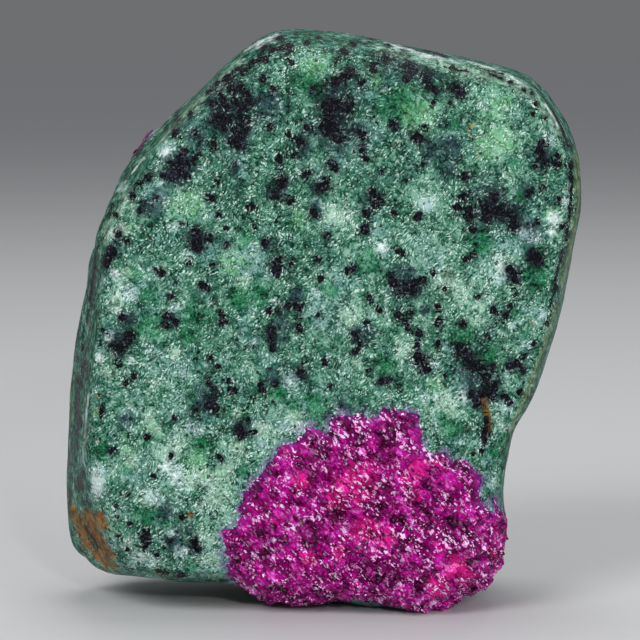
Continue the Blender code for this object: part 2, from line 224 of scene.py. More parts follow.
PATCHES: dict[Tone, tuple[Mark, ...]] = {
    Tone.SLATE: (
        (222, 109, 30), (230, 138, 20), (199, 135, 18), (176, 177, 22), (153, 199, 20), (235, 168, 8), (145, 205, 10),
        (336, 99, 28), (339, 135, 32), (396, 63, 26), (262, 109, 22), (303, 147, 14), (362, 142, 16), (279, 186, 14),
        (320, 186, 14), (374, 196, 12), (412, 68, 20), (442, 147, 22), (486, 201, 28), (458, 91, 12), (433, 89, 10),
        (448, 170, 12), (525, 192, 14), (542, 158, 14), (295, 294, 10), (278, 333, 18), (363, 335, 14),
        (214, 92, 13), (230, 84, 13), (244, 98, 16), (238, 118, 18), (218, 122, 14), (240, 138, 13), (180, 160, 14),
        (170, 172, 10), (401, 281, 20), (316, 210, 10), (269, 378, 10), (501, 208, 24), (519, 223, 14), (533, 231, 14),
        (533, 256, 12), (475, 371, 24), (480, 390, 22), (515, 364, 12), (421, 362, 14), (425, 311, 6), (196, 238, 16),
        (189, 234, 8), (118, 342, 16), (127, 320, 9), (120, 236, 9), (205, 402, 18), (242, 428, 14), (178, 540, 18),
        (161, 512, 15), (126, 420, 10), (195, 546, 12), (167, 322, 9), (346, 409, 14), (360, 403, 9), (330, 415, 10),
        (406, 411, 7), (412, 287, 14), (462, 350, 13), (513, 272, 12), (275, 265, 11), (268, 243, 9), (301, 372, 10),
    ),
    Tone.GREEN: (
        (308, 81, 18), (400, 104, 22), (496, 80, 10), (133, 276, 10), (151, 294, 12), (153, 329, 16), (198, 319, 16),
        (189, 334, 10), (245, 242, 12), (192, 215, 10), (240, 297, 12), (295, 225, 8), (369, 264, 14), (331, 292, 10),
        (256, 292, 16), (387, 367, 12), (480, 245, 14), (537, 274, 16), (461, 335, 14), (514, 312, 8), (488, 356, 10),
        (524, 335, 8), (512, 164, 8), (523, 196, 8), (201, 448, 14), (149, 511, 14), (154, 432, 14), (99, 450, 10),
        (126, 469, 8), (196, 492, 8), (240, 471, 8), (191, 566, 9), (228, 570, 9), (315, 403, 13), (296, 406, 9),
        (277, 393, 8), (444, 419, 10), (453, 428, 10), (482, 484, 7), (490, 494, 9), (494, 453, 8), (503, 441, 7),
        (360, 595, 12), (395, 603, 8), (335, 598, 8), (455, 127, 8),
    ),
    Tone.LEAF: (
        (316, 62, 16), (411, 122, 14), (421, 116, 18), (186, 206, 20), (191, 104, 6), (376, 80, 9), (493, 139, 24),
        (498, 107, 15), (196, 464, 15), (201, 473, 10), (126, 229, 9), (233, 264, 14), (552, 214, 9), (240, 412, 8),
        (122, 440, 6), (126, 450, 6), (221, 474, 8), (299, 217, 9), (436, 385, 12),
    ),
    Tone.CREAM: (
        (165, 455, 14), (190, 480, 14), (150, 500, 12), (215, 500, 14), (130, 460, 10), (180, 438, 12), (226, 470, 12),
        (206, 542, 12), (160, 572, 9), (128, 545, 9), (155, 430, 9), (240, 448, 11),
        (244, 282, 8), (175, 352, 8), (357, 364, 6), (460, 294, 11), (478, 306, 7), (478, 321, 7), (210, 480, 10),
        (215, 500, 16), (202, 506, 7), (208, 559, 12), (444, 402, 12), (450, 415, 6), (149, 417, 9), (237, 412, 6),
        (333, 215, 10), (349, 315, 12), (296, 418, 10), (264, 432, 12), (446, 282, 15), (345, 215, 10),
        (108, 372, 9), (155, 382, 6), (262, 453, 5), (400, 350, 9), (508, 176, 5), (120, 279, 10),
    ),
    Tone.FROST: (
        (165, 150, 9), (158, 183, 6), (121, 187, 7), (386, 88, 4), (548, 140, 8), (115, 274, 6), (130, 294, 9),
        (109, 334, 5), (99, 356, 6), (174, 228, 5), (187, 256, 6), (184, 375, 6), (151, 350, 7), (133, 363, 7),
        (174, 307, 5), (252, 246, 5), (381, 247, 7), (316, 294, 6), (275, 302, 4), (253, 342, 5), (290, 379, 9),
        (498, 263, 9), (498, 277, 9), (554, 220, 8), (525, 231, 8), (537, 238, 7), (512, 326, 5), (543, 315, 6),
        (529, 345, 5), (464, 396, 7), (509, 372, 8), (433, 364, 6), (428, 204, 9), (199, 430, 7), (190, 427, 6),
        (96, 480, 9), (94, 494, 9), (100, 471, 7), (166, 468, 8), (177, 470, 8), (177, 482, 8), (154, 498, 10),
        (138, 557, 9), (150, 559, 9), (171, 532, 5), (182, 552, 8), (305, 428, 7), (432, 425, 8), (482, 444, 5),
        (491, 484, 7), (510, 427, 5), (505, 409, 7), (420, 425, 6), (436, 55, 5), (455, 60, 5), (498, 68, 6),
        (400, 48, 6), (365, 41, 5), (289, 427, 7), (563, 201, 6), (132, 566, 5),
    ),
    Tone.OCHRE: (
        (532, 323, 2.5), (483, 402, 3), (488, 424, 4), (486, 412, 3), (466, 431, 2.5), (190, 515, 4), (74, 509, 8),
        (88, 515, 9), (100, 517, 9), (78, 520, 11), (92, 524, 12), (102, 525, 9), (84, 532, 11), (96, 537, 12),
        (88, 543, 10), (102, 547, 11), (98, 554, 10), (109, 554, 9), (107, 562, 9), (113, 566, 7), (104, 570, 6),
    ),
    Tone.GOLD: ((471, 125, 3), (468, 130, 2.5), (471, 137, 2.5), (477, 154, 2.5)),
    # Most of these lie on the front's edges, as painted sheen.
    Tone.CHALK: (
        (97, 480, 8), (97, 491, 7), (95, 471, 5), (140, 557, 7), (116, 273, 5), (109, 338, 5), (99, 358, 6),
        (171, 532, 4), (165, 152, 6), (260, 44, 8), (272, 40, 6), (563, 200, 5), (554, 218, 8), (566, 190, 4),
        (381, 247, 5), (97, 442, 3), (300, 426, 5), (462, 396, 5), (388, 43, 5), (400, 46, 5), (121, 228, 7),
        (112, 233, 6), (501, 268, 7), (552, 232, 5), (166, 468, 5), (175, 476, 5), (118, 311, 4), (128, 372, 4),
    ),
    Tone.OLIVE: (
        (120, 176, 6), (134, 156, 6), (160, 128, 6), (98, 396, 5), (97, 412, 5), (150, 580, 6), (512, 428, 5),
    ),
    Tone.FELT: (
        (150, 470, 46), (200, 475, 40), (140, 420, 34), (165, 380, 26), (120, 520, 24), (215, 520, 34), (205, 560, 22),
        (150, 285, 20), (120, 300, 24), (240, 260, 22), (345, 300, 34), (470, 300, 28), (500, 262, 20), (450, 405, 26),
        (505, 410, 22), (555, 225, 18), (430, 205, 24), (500, 140, 26), (185, 205, 24), (310, 60, 18), (410, 355, 22),
        (385, 250, 20), (520, 330, 22), (270, 430, 28), (165, 150, 14), (440, 250, 24), (340, 215, 18),
    ),
}

# Long narrow patches of the front, several of them painted sheen and painted shade along its edges: their points in the
# view's frame, and half their width in its units
Line = tuple[tuple[tuple[float, float], ...], float]
STREAKS: dict[Tone, tuple[Line, ...]] = {
    Tone.CHALK: (
        # Painted sheen: pale lines along the top and left edges, where the light falls brightest.
        (((277, 36), (258, 42), (243, 52)), 4.5),
        (((126, 182), (112, 204), (103, 220), (97, 236), (93, 250)), 2.6),
        (((144, 158), (138, 166), (131, 175)), 2.0),
        (((89, 394), (86, 410), (85, 426), (85, 440)), 2.4),
        (((385, 43), (404, 48), (425, 55), (446, 60)), 3.4),
        (((468, 62), (492, 69), (512, 78), (528, 90)), 2.6),
        (((545, 104), (554, 118), (562, 134)), 2.0),
    ),
    Tone.CREAM: (
        # Painted sheen: light bands along the top and left shoulders.
        (((380, 48), (405, 54), (435, 62), (463, 69), (492, 75), (515, 85), (535, 100), (552, 122), (562, 142)), 8.0),
        (((240, 64), (222, 80), (205, 96), (186, 114), (170, 130), (158, 146)), 7.0),
        (((128, 192), (118, 212), (108, 230), (104, 246)), 7.0),
        (((124, 276), (118, 296), (113, 312)), 9.0),
    ),
    Tone.LEAF: ((((76, 360), (74, 390), (73, 425)), 2.2),),
    Tone.FROST: (
        # Pale grey lines along the edges; the one on the upper-left bevel and the one at the top right are painted
        # sheen.
        (((97, 238), (91, 254), (88, 270), (87, 288), (85, 304)), 2.6),
        (((232, 58), (215, 74), (197, 90), (178, 108), (162, 125), (148, 142)), 5.5),
        (((84, 444), (83, 458), (84, 472)), 2.6),
        (((76, 538), (88, 553), (100, 566), (112, 577)), 1.8),
        (((120, 577), (135, 575), (150, 576)), 2.5),
        (((533, 82), (549, 100), (562, 122), (571, 146)), 1.8),
        (((566, 272), (561, 290), (556, 306), (552, 322)), 1.6),
    ),
    Tone.OLIVE: (
        (((576, 150), (578, 176), (578, 196), (577, 214), (574, 232), (570, 252), (566, 270), (561, 288)), 9.0),
        (((556, 306), (551, 322), (547, 338), (541, 356), (533, 376), (526, 394), (518, 412), (512, 430)), 4.5),
        (((206, 80), (186, 97), (170, 110), (156, 122)), 3.5),
    ),
    Tone.OCHRE: (
        # The first line is painted shade of the rounded underside along the foot; the second is a brown stain.
        (((118, 578), (140, 582), (165, 584), (190, 586), (220, 588), (244, 590)), 2.0),
        (((484, 398), (486, 410), (489, 424), (488, 434)), 4.0),
    ),
    Tone.SLATE: (
        # Painted shade: these first two darken the left side, which the light leaves darker.
        (((88, 340), (84, 360), (81, 380), (78, 400)), 5.0),
        (((76, 420), (74, 445), (72, 470)), 5.0),
        (((400, 66), (425, 72), (447, 78)), 8.0),
    ),
}

# Thin black seams and long grains of the front, and black lines of painted shade in its top grooves and along its foot,
# in the same way
SEAMS_AND_SHADE_LINES: tuple[Line, ...] = (
    (((96, 258), (94, 272), (92, 288), (91, 304)), 2.2), (((88, 314), (87, 322)), 1.8),
    (((86, 362), (83, 374)), 1.6), (((77, 392), (78, 406), (80, 420), (78, 432)), 2.0),
    (((69, 452), (68, 466)), 2.0), (((82, 474), (79, 488)), 2.4), (((71, 492), (71, 502)), 1.6),
    (((102, 406), (101, 416)), 1.5), (((146, 532), (145, 545)), 3.0), (((111, 250), (106, 264)), 3.4),
    (((86, 528), (89, 534)), 1.0), (((95, 541), (98, 547)), 1.1), (((78, 535), (80, 540)), 0.8),
    # Painted shade: these two lie in the top grooves.
    (((444, 67), (456, 70), (468, 71)), 0.8), (((490, 74), (503, 79)), 0.9),
    (((571, 166), (572, 184), (571, 202), (569, 220), (566, 240)), 1.0),
    (((563, 250), (558, 270), (554, 288), (550, 306)), 0.9),
    (((552, 110), (561, 126), (568, 146)), 1.2), (((486, 418), (486, 432)), 1.9),
    # Painted shade: a black line along the rounded underside at the foot.
    (((128, 580), (146, 583), (165, 587), (185, 589), (205, 590)), 1.6),
    (((152, 138), (143, 150), (134, 163)), 1.4), (((273, 50), (286, 47)), 2.0), (((252, 62), (266, 59)), 2.0),
)

# Long narrow grooves of the front: their points in the view's frame, and how wide and how deep each is in millimetres
GROOVES: tuple[tuple[tuple[tuple[float, float], ...], float, float], ...] = (
    (((417, 57), (426, 60), (436, 64), (447, 67)), 0.30, 0.22),
    (((440, 66), (456, 70), (472, 71), (488, 74), (503, 79), (516, 84), (527, 92)), 0.32, 0.24),
    (((571, 166), (572, 184), (571, 202), (569, 220), (566, 240), (560, 262)), 0.28, 0.22),
    (((470, 456), (479, 452), (487, 448)), 0.22, 0.25),
    (((97, 252), (95, 268), (92, 284), (90, 302), (87, 320), (84, 346)), 0.28, 0.16),
    (((84, 400), (82, 420), (79, 440), (76, 462)), 0.28, 0.16),
)


# ---------------------------------------------------------------------------------------------------------------
# Geometry helpers
# ---------------------------------------------------------------------------------------------------------------

# Where the outline swells past the worn solids: the place in the view's frame, its width and its height
SWELLS: tuple[tuple[tuple[float, float], float, float], ...] = (
    ((190, 101), 3.2, 0.22), ((168, 118), 3.2, 0.45), ((148, 142), 3.2, 0.50), ((128, 172), 3.2, 0.55),
    ((112, 206), 3.2, 0.50), ((101, 236), 3.0, 0.55), ((91, 262), 2.6, 0.40), ((80, 335), 3.5, 0.10),
    ((73, 390), 3.5, 0.15), ((68, 440), 3.5, 0.20), ((69, 522), 3.0, 0.45), ((80, 545), 3.0, 0.80),
    ((98, 563), 3.0, 0.85), ((116, 575), 3.0, 0.55),
)


def unit(vectors: Array) -> Array:
    """Vectors brought to a length of one."""
    return vectors / np.linalg.norm(vectors, axis=-1, keepdims=True)


def smooth_step(values: Array, low: float, high: float) -> Array:
    """Values turned into a soft step that is 0 at low and 1 at high."""
    share = np.clip((values - low) / (high - low), 0.0, 1.0)
    return share * share * (3 - 2 * share)


def waves(points: Array, spacing: float, seed: float = 0.0) -> Array:
    """Soft noise at each point, from about -1 to 1.

    Args:
        points: places in millimetres.
        spacing: the distance over which the noise turns.
        seed: an offset that gives another pattern.

    Returns:
        One number for each point.
    """
    places = points / spacing + seed
    return np.array([noise.noise(place) for place in places.tolist()])


def drift(points: Array, spacing: float, seed: float = 0.0) -> Array:
    """A soft noise vector at each point, each part from about -1 to 1."""
    places = points / spacing + seed
    return np.array([noise.noise_vector(place) for place in places.tolist()])


def hashed(cells: Array, salt: int) -> Array:
    """A fixed random number from 0 to 1 for each cell of a cubic lattice.

    Args:
        cells: whole-number cell places, of shape (count, 3).
        salt: which of many random numbers to give.

    Returns:
        One number for each cell.
    """
    mixed = cells.astype(np.int64) * np.array((73856093, 19349663, 83492791)) + salt * 2654435761
    bits = (mixed[..., 0] ^ mixed[..., 1] ^ mixed[..., 2]) & 0xFFFFFFFF
    for multiplier in (0x45D9F3B, 0x45D9F3B):
        bits = ((bits ^ (bits >> 16)) * multiplier) & 0xFFFFFFFF
    return (bits ^ (bits >> 16)) / 0xFFFFFFFF


def cleavage(points: Array, size: float, tilt: float, step: float, salt: int) -> Array:
    """How far tilted flat faces, one for each cell of a Voronoi pattern, stand out at each point.

    Args:
        points: places in millimetres.
        size: the usual width of one face.
        tilt: the most that a face rises, for each millimetre across it.
        step: the most that neighbouring faces stand off each other.
        salt: which random pattern to use.

    Returns:
        A height in millimetres for each point.
    """
    places = points / size
    corner = np.floor(places).astype(np.int64)
    nearest = np.full(len(points), np.inf)
    height = np.zeros(len(points))
    for offset in np.ndindex(3, 3, 3):
        cells = corner + np.array(offset) - 1
        seeds = cells + np.stack([hashed(cells, salt + axis) for axis in range(3)], axis=-1)
        across = places - seeds
        away = (across**2).sum(axis=1)
        lean = np.stack([hashed(cells, salt + 3 + axis) for axis in range(3)], axis=-1) * 2 - 1
        rise = (across * lean).sum(axis=1) * size * tilt + step * (hashed(cells, salt + 6) * 2 - 1)
        closer = away < nearest
        nearest = np.where(closer, away, nearest)
        height = np.where(closer, rise, height)
    return height


def tree_of(*objects: bpy.types.Object) -> BVHTree:
    """A tree, in millimetres, of the faces of some objects.

    Args:
        objects: the objects whose meshes it takes in.

    Returns:
        One tree for all of them.
    """
    points: list[Vector] = []
    faces: list[list[int]] = []
    for thing in objects:
        start = len(points)
        points.extend(vertex.co / METRES for vertex in thing.data.vertices)
        faces.extend([start + index for index in face.vertices] for face in thing.data.polygons)
    return BVHTree.FromPolygons(points, faces)


OUTSIDE = 120.0  # further than any of the stone is from any centre


def outermost(tree: BVHTree, centre: Array, directions: Array) -> tuple[Array, Array]:
    """Where the outermost face lies along each direction from a centre, found from outside.

    Args:
        tree: the faces.
        centre: the point that the directions start from.
        directions: unit vectors, of shape (count, 3).

    Returns:
        The distance to each face, and its normal.
    """
    starts = (np.array(centre) + directions * OUTSIDE).tolist()
    found = [tree.ray_cast(start, way) for start, way in zip(starts, (-directions).tolist())]
    return OUTSIDE - np.array([hit[3] for hit in found]), np.array([hit[1] for hit in found])


@dataclass
class StarShell:
    """A closed surface that every ray from its centre crosses once, on the grid of a box.

    Attributes:
        centre: the point that it is seen from.
        half_size: half the size of the box that its rays are spread over.
        counts: how many cells the box has across, front to back and up.
        directions: a unit direction for each vertex.
        quads: the corners of each cell, turned outwards.
        reach: the distance from the centre to each vertex.
    """

    centre: tuple[float, float, float]
    half_size: tuple[float, float, float]
    counts: tuple[int, int, int]
    directions: Array = field(init=False)
    quads: Array = field(init=False)
    reach: Array = field(init=False)

    def __post_init__(self) -> None:
        """Lays out the grid."""
        places: list[Array] = []
        quads: list[Array] = []
        start = 0
        for axis in range(3):
            first, second = (axis + 1) % 3, (axis + 2) % 3
            rows, columns = np.mgrid[0 : self.counts[first] + 1, 0 : self.counts[second] + 1]
            for side in (0, self.counts[axis]):
                block = np.zeros((rows.size, 3), np.int64)
                block[:, axis] = side
                block[:, first] = rows.ravel()
                block[:, second] = columns.ravel()
                index = np.arange(rows.size).reshape(rows.shape) + start
                corners = (index[:-1, :-1], index[1:, :-1], index[1:, 1:], index[:-1, 1:])
                quad = np.stack(corners, axis=-1).reshape(-1, 4)
                quads.append(quad if side else quad[:, ::-1])
                places.append(block)
                start += rows.size
        merged, index = np.unique(np.concatenate(places), axis=0, return_inverse=True)
        box = (2 * merged / np.array(self.counts) - 1) * np.array(self.half_size)
        self.directions = unit(box)
        self.quads = index.ravel()[np.concatenate(quads)]
        self.reach = np.ones(len(merged))

    def points(self) -> Array:
        """Where each vertex is."""
        return np.array(self.centre) + self.directions * self.reach[:, None]

    def edges(self) -> tuple[Array, Array]:
        """The two ends of every edge of every cell, each edge both ways."""
        ends = np.concatenate([self.quads[:, [side, (side + 1) % 4]] for side in range(4)])
        ends = np.unique(np.concatenate((ends, ends[:, ::-1])), axis=0)
        return ends[:, 0], ends[:, 1]

    def blurred(self, values: Array, rounds: int) -> Array:
        """Values averaged with their neighbours, a number of times over."""
        near, far = self.edges()
        count = np.bincount(near, minlength=len(values))
        for _ in range(rounds):
            values = 0.5 * values + 0.5 * np.bincount(near, values[far], len(values)) / count
        return values

    def kept_smooth(self, values: Array, rounds: int) -> Array:
        """Values with their fine detail blurred away and their broad form left as it was."""
        broad = self.blurred(values, rounds)
        return broad + self.blurred(values - broad, rounds)

    def joined(self, chosen: Array, towards: Array) -> Array:
        """The part of a choice of vertices that hangs together with the one that lies in a direction.

        Args:
            chosen: whether each vertex is chosen.
            towards: the direction of a vertex that the kept part holds.

        Returns:
            Whether each vertex is in the kept part.
        """
        near, far = self.edges()
        within = chosen[near] & chosen[far]
        near, far = near[within], far[within]
        kept = np.zeros(len(chosen), bool)
        kept[np.argmax(self.directions @ towards)] = True
        count = 0
        while kept.sum() > count:
            count = kept.sum()
            kept[near[kept[far]]] = True
        return kept

    def without_slots(self, depth: float) -> None:
        """Lifts the few vertices whose ray fell into a narrow slot to the level of their neighbours."""
        near, far = self.edges()
        for _ in range(3):
            highest = np.full(len(self.reach), -np.inf)
            np.maximum.at(highest, near, self.reach[far])
            fallen = highest - self.reach > depth
            self.reach = np.where(fallen, highest, self.reach)

    def normals(self) -> Array:
        """The outward normal at each vertex."""
        points = self.points()
        a, b, c, d = (points[self.quads[:, corner]] for corner in range(4))
        faces = np.cross(c - a, d - b)
        total = np.zeros_like(points)
        for corner in range(4):
            np.add.at(total, self.quads[:, corner], faces)
        return unit(total)


def make_object(name: str, points: Array, faces: Array) -> bpy.types.Object:
    """A new object from points in millimetres.

    Args:
        name: the piece's name.
        points: its vertices.
        faces: the corners of its faces.

    Returns:
        The object, linked to the scene.
    """
    mesh = bpy.data.meshes.new(name)
    mesh.from_pydata((points * METRES).tolist(), [], faces.tolist())
    made = bpy.data.objects.new(name, mesh)
    bpy.context.scene.collection.objects.link(made)
    return made


def vertex_places(thing: bpy.types.Object) -> Array:
    """The places of an object's vertices, in millimetres."""
    flat = np.zeros(len(thing.data.vertices) * 3, np.float32)
    thing.data.vertices.foreach_get("co", flat)
    return flat.reshape(-1, 3).astype(float) / METRES


def set_attribute(thing: bpy.types.Object, name: str, values: Array) -> None:
    """Stores a number or a vector for each vertex of an object."""
    is_vector = values.ndim == 2
    kind = "FLOAT_VECTOR" if is_vector else "FLOAT"
    attribute = thing.data.attributes.new(name, kind, "POINT")
    attribute.data.foreach_set("vector" if is_vector else "value", values.astype(np.float32).ravel())


def near_tree(points: Array) -> KDTree:
    """A tree that finds the nearest of some points."""
    tree = KDTree(len(points))
    for index, point in enumerate(points.tolist()):
        tree.insert(point, index)
    tree.balance()
    return tree


def finished(thing: bpy.types.Object) -> bpy.types.Object:
    """Turns an object with live modifiers into one with a plain mesh."""
    bpy.context.view_layer.update()
    graph = bpy.context.evaluated_depsgraph_get()
    mesh = bpy.data.meshes.new_from_object(thing.evaluated_get(graph), preserve_all_data_layers=True, depsgraph=graph)
    thing.modifiers.clear()
    thing.data = mesh
    return thing


# ---------------------------------------------------------------------------------------------------------------
# Shader graphs
# ---------------------------------------------------------------------------------------------------------------

Socket = bpy.types.NodeSocket
Value = Socket | float | tuple


class Graph:
    """A short way to write a shader or geometry node tree: each call adds one node and gives back an output."""

    def __init__(self, tree: bpy.types.NodeTree) -> None:
        """Starts on a tree."""
        self.tree = tree

    def add(self, kind: str, output: str | int = 0, settings: dict | None = None, **inputs: Value) -> Socket:
        """Adds a node.

        Args:
            kind: the node's type.
            output: which output to give back, by name or number.
            settings: the node's own properties.
            inputs: a link or a value for each input, by name with underscores, or by number as in i0.

        Returns:
            The chosen output socket.
        """
        node = self.tree.nodes.new(kind)
        for name, value in (settings or {}).items():
            setattr(node, name, value)
        for name, value in inputs.items():
            plain = name[1:].isdigit() and name[0] == "i"
            socket = node.inputs[int(name[1:])] if plain else node.inputs[name.replace("_", " ")]
            self.give(socket, value)
        return node.outputs[output]

    def give(self, socket: Socket, value: Value) -> None:
        """Links a value to an input, or sets it there."""
        if isinstance(value, bpy.types.NodeSocket):
            self.tree.links.new(value, socket)
        elif isinstance(value, tuple) and len(value) == 3 and len(socket.default_value) == 4:
            socket.default_value = (*value, 1.0)
        else:
            socket.default_value = value

    def math(self, operation: str, first: Value, second: Value = 0.0, clamp: bool = False) -> Socket:
        """One arithmetic step on two numbers."""
        return self.add("ShaderNodeMath", 0, {"operation": operation, "use_clamp": clamp}, i0=first, i1=second)

    def vector(self, operation: str, first: Value, second: Value = (0.0, 0.0, 0.0)) -> Socket:
        """One step on two vectors."""
        out = "Value" if operation in ("LENGTH", "DOT_PRODUCT") else "Vector"
        return self.add("ShaderNodeVectorMath", out, {"operation": operation}, i0=first, i1=second)

    def scaled(self, vector: Value, factor: Value) -> Socket:
        """A vector times a number."""
        return self.add("ShaderNodeVectorMath", "Vector", {"operation": "SCALE"}, i0=vector, Scale=factor)

    def mix(self, share: Value, first: Value, second: Value, blend: str = "MIX") -> Socket:
        """Two colours mixed."""
        settings = {"data_type": "RGBA", "blend_type": blend, "clamp_factor": True}
        return self.add("ShaderNodeMix", 2, settings, i0=share, i6=first, i7=second)

    def step(self, value: Value, low: Value, high: Value, bottom: float = 0.0, top: float = 1.0) -> Socket:
        """A soft step between two values."""
        settings = {"interpolation_type": "SMOOTHSTEP"}
        return self.add("ShaderNodeMapRange", 0, settings, i0=value, i1=low, i2=high, i3=bottom, i4=top)

    def ramp(self, value: Value, stops: tuple[tuple[float, Colour], ...]) -> Socket:
        """A colour ramp through some stops, each a place and a colour."""
        colour = self.add("ShaderNodeValToRGB", 0, None, i0=value)
        elements = colour.node.color_ramp.elements
        while len(elements) < len(stops):
            elements.new(0.5)
        for element, (place, tint) in zip(elements, stops):
            element.position = place
            element.color = (*tint, 1.0)
        return colour

    def noise(self, place: Value, size: float, detail: float = 2.0, roughness: float = 0.5, out: int = 0) -> Socket:
        """Soft noise whose waves have a size in millimetres: its factor, or its colour where out is 1."""
        return self.add("ShaderNodeTexNoise", out, None, Vector=place, Scale=1 / size, Detail=detail, Roughness=roughness)

    def cells(self, place: Value, size: Value, out: str) -> Socket:
        """One output of a Voronoi pattern whose cells have a size in millimetres."""
        scale = self.math("DIVIDE", 1.0, size) if isinstance(size, bpy.types.NodeSocket) else 1 / size
        return self.add("ShaderNodeTexVoronoi", out, None, Vector=place, Scale=scale)

    def attribute(self, name: str, out: str = "Fac") -> Socket:
        """A vertex attribute, as a number or as a vector."""
        return self.add("ShaderNodeAttribute", out, {"attribute_name": name})

    def group(self, tree: bpy.types.NodeTree, output: str, **inputs: Value) -> bpy.types.Node:
        """Places a node group and gives back one output."""
        return self.add("ShaderNodeGroup", output, {"node_tree": tree}, **inputs)


def new_group(name: str, inputs: dict[str, tuple[str, Value]], outputs: dict[str, str]) -> tuple[Graph, Socket, Socket]:
    """Starts a shader node group with named inputs and outputs.

    Args:
        name: the group's name.
        inputs: each input's kind of socket and its default value.
        outputs: each output's kind of socket.

    Returns:
        A graph on the group, its input node's outputs and its output node's inputs.
    """
    tree = bpy.data.node_groups.new(name, "ShaderNodeTree")
    for label, (kind, default) in inputs.items():
        socket = tree.interface.new_socket(name=label, in_out="INPUT", socket_type=kind)
        if default is not None:
            socket.default_value = default
    for label, kind in outputs.items():
        tree.interface.new_socket(name=label, in_out="OUTPUT", socket_type=kind)
    given = tree.nodes.new("NodeGroupInput").outputs
    result = tree.nodes.new("NodeGroupOutput").inputs
    return Graph(tree), given, result


VECTOR_SOCKET = "NodeSocketVector"
FLOAT_SOCKET = "NodeSocketFloat"
COLOUR_SOCKET = "NodeSocketColor"


def needle_group() -> bpy.types.NodeTree:
    """Short fine crystals lying one way in a solid: a mask of them, and a random brightness for each.

    Returns:
        The node group.
    """
    graph, given, result = new_group(
        "mineral_needles",
        {
            "Place": (VECTOR_SOCKET, None),
            "Turn": (VECTOR_SOCKET, (0.0, 0.0, 0.0)),
            "Length": (FLOAT_SOCKET, 0.6),
            "Width": (FLOAT_SOCKET, 0.2),
            "Share": (FLOAT_SOCKET, 0.3),
        },
        {"Mask": FLOAT_SOCKET, "Bright": FLOAT_SOCKET},
    )
    turned = graph.add(
        "ShaderNodeVectorRotate", 0, {"rotation_type": "EULER_XYZ"}, Vector=given["Place"], Rotation=given["Turn"]
    )
    size = graph.add("ShaderNodeCombineXYZ", 0, None, X=given["Length"], Y=given["Width"], Z=given["Width"])
    place = graph.vector("DIVIDE", turned, size)
    voronoi = graph.cells(place, 1.0, "Distance").node
    bright = graph.add("ShaderNodeSeparateColor", 0, None, Color=voronoi.outputs["Color"])
    inner = graph.math("MULTIPLY", given["Share"], 0.55)
    mask = graph.add(
        "ShaderNodeMapRange", 0, {"interpolation_type": "SMOOTHSTEP"},
        i0=voronoi.outputs["Distance"], i1=given["Share"], i2=inner, i3=0.0, i4=1.0,
    )
    graph.give(result["Mask"], mask)
    graph.give(result["Bright"], bright)
    return graph.tree


def facet_group() -> bpy.types.NodeTree:
    """A mosaic of tilted flat faces: its height in millimetres, and a random number for each face.

    Returns:
        The node group.
    """
    graph, given, result = new_group(
        "cleavage_faces",
        {"Place": (VECTOR_SOCKET, None), "Size": (FLOAT_SOCKET, 1.0), "Tilt": (FLOAT_SOCKET, 0.5)},
        {"Height": FLOAT_SOCKET, "Random": FLOAT_SOCKET},
    )
    voronoi = graph.cells(given["Place"], given["Size"], "Distance").node
    random = graph.add("ShaderNodeSeparateColor", 0, None, Color=voronoi.outputs["Color"])
    lean = graph.vector("SUBTRACT", voronoi.outputs["Color"], (0.5, 0.5, 0.5))
    scaled_place = graph.vector("SUBTRACT", given["Place"], voronoi.outputs["Position"])
    rise = graph.vector("DOT_PRODUCT", lean, scaled_place)
    graph.give(result["Height"], graph.math("MULTIPLY", rise, given["Tilt"]))
    graph.give(result["Random"], random)
    return graph.tree


def ragged_group() -> bpy.types.NodeTree:
    """A soft patch turned into one with a ragged, grainy border.

    Returns:
        The node group.
    """
    graph, given, result = new_group(
        "ragged_patch",
        {
            "Field": (FLOAT_SOCKET, 0.0),
            "Place": (VECTOR_SOCKET, None),
            "Grain": (FLOAT_SOCKET, 0.6),
            "Spread": (FLOAT_SOCKET, 0.7),
        },
        {"Mask": FLOAT_SOCKET},
    )
    total: Value = given["Field"]
    for coarser, share in ((1.0, 1.0), (3.5, 1.6)):
        scale = graph.math("DIVIDE", 1 / coarser, given["Grain"])
        grain = graph.add("ShaderNodeTexNoise", 0, None, Vector=given["Place"], Scale=scale, Detail=3.0, Roughness=0.7)
        shift = graph.math("MULTIPLY", graph.math("SUBTRACT", grain, 0.5), given["Spread"])
        total = graph.math("ADD", total, graph.math("MULTIPLY", shift, share))
    inside = graph.step(given["Field"], 0.0, 0.30)
    graph.give(result["Mask"], graph.math("MULTIPLY", graph.step(total, 0.20, 1.05), inside))
    return graph.tree


@dataclass(frozen=True)
class SharedEffects:
    """The node groups that more than one finish uses."""

    needles: bpy.types.NodeTree
    facets: bpy.types.NodeTree
    ragged: bpy.types.NodeTree

    @staticmethod
    def build() -> "SharedEffects":
        """Builds each group once."""
        return SharedEffects(needle_group(), facet_group(), ragged_group())


def new_material(name: str) -> tuple[bpy.types.Material, Graph, bpy.types.Node, Socket]:
    """A new material with a Principled shader.

    Args:
        name: the material's name.

    Returns:
        The material, a graph on it, its shader node, and the place on the piece in millimetres.
    """
    material = bpy.data.materials.new(name)
    material.use_nodes = True
    graph = Graph(material.node_tree)
    shader = material.node_tree.nodes["Principled BSDF"]
    metres = graph.add("ShaderNodeTexCoord", "Object")
    return material, graph, shader, graph.scaled(metres, 1 / METRES)


NEEDLE_TURNS = ((0.3, 0.5, 0.2), (1.2, -0.4, 0.9), (-0.7, 0.9, 2.1), (0.5, -1.1, 1.4))
# How the ruby's dashes of painted glint lie.
PAINTED_GLINT_TURNS = ((0.2, -0.8, 0.1), (-0.3, -0.4, 0.3), (0.4, -1.1, -0.2), (0.1, 0.7, 0.3))


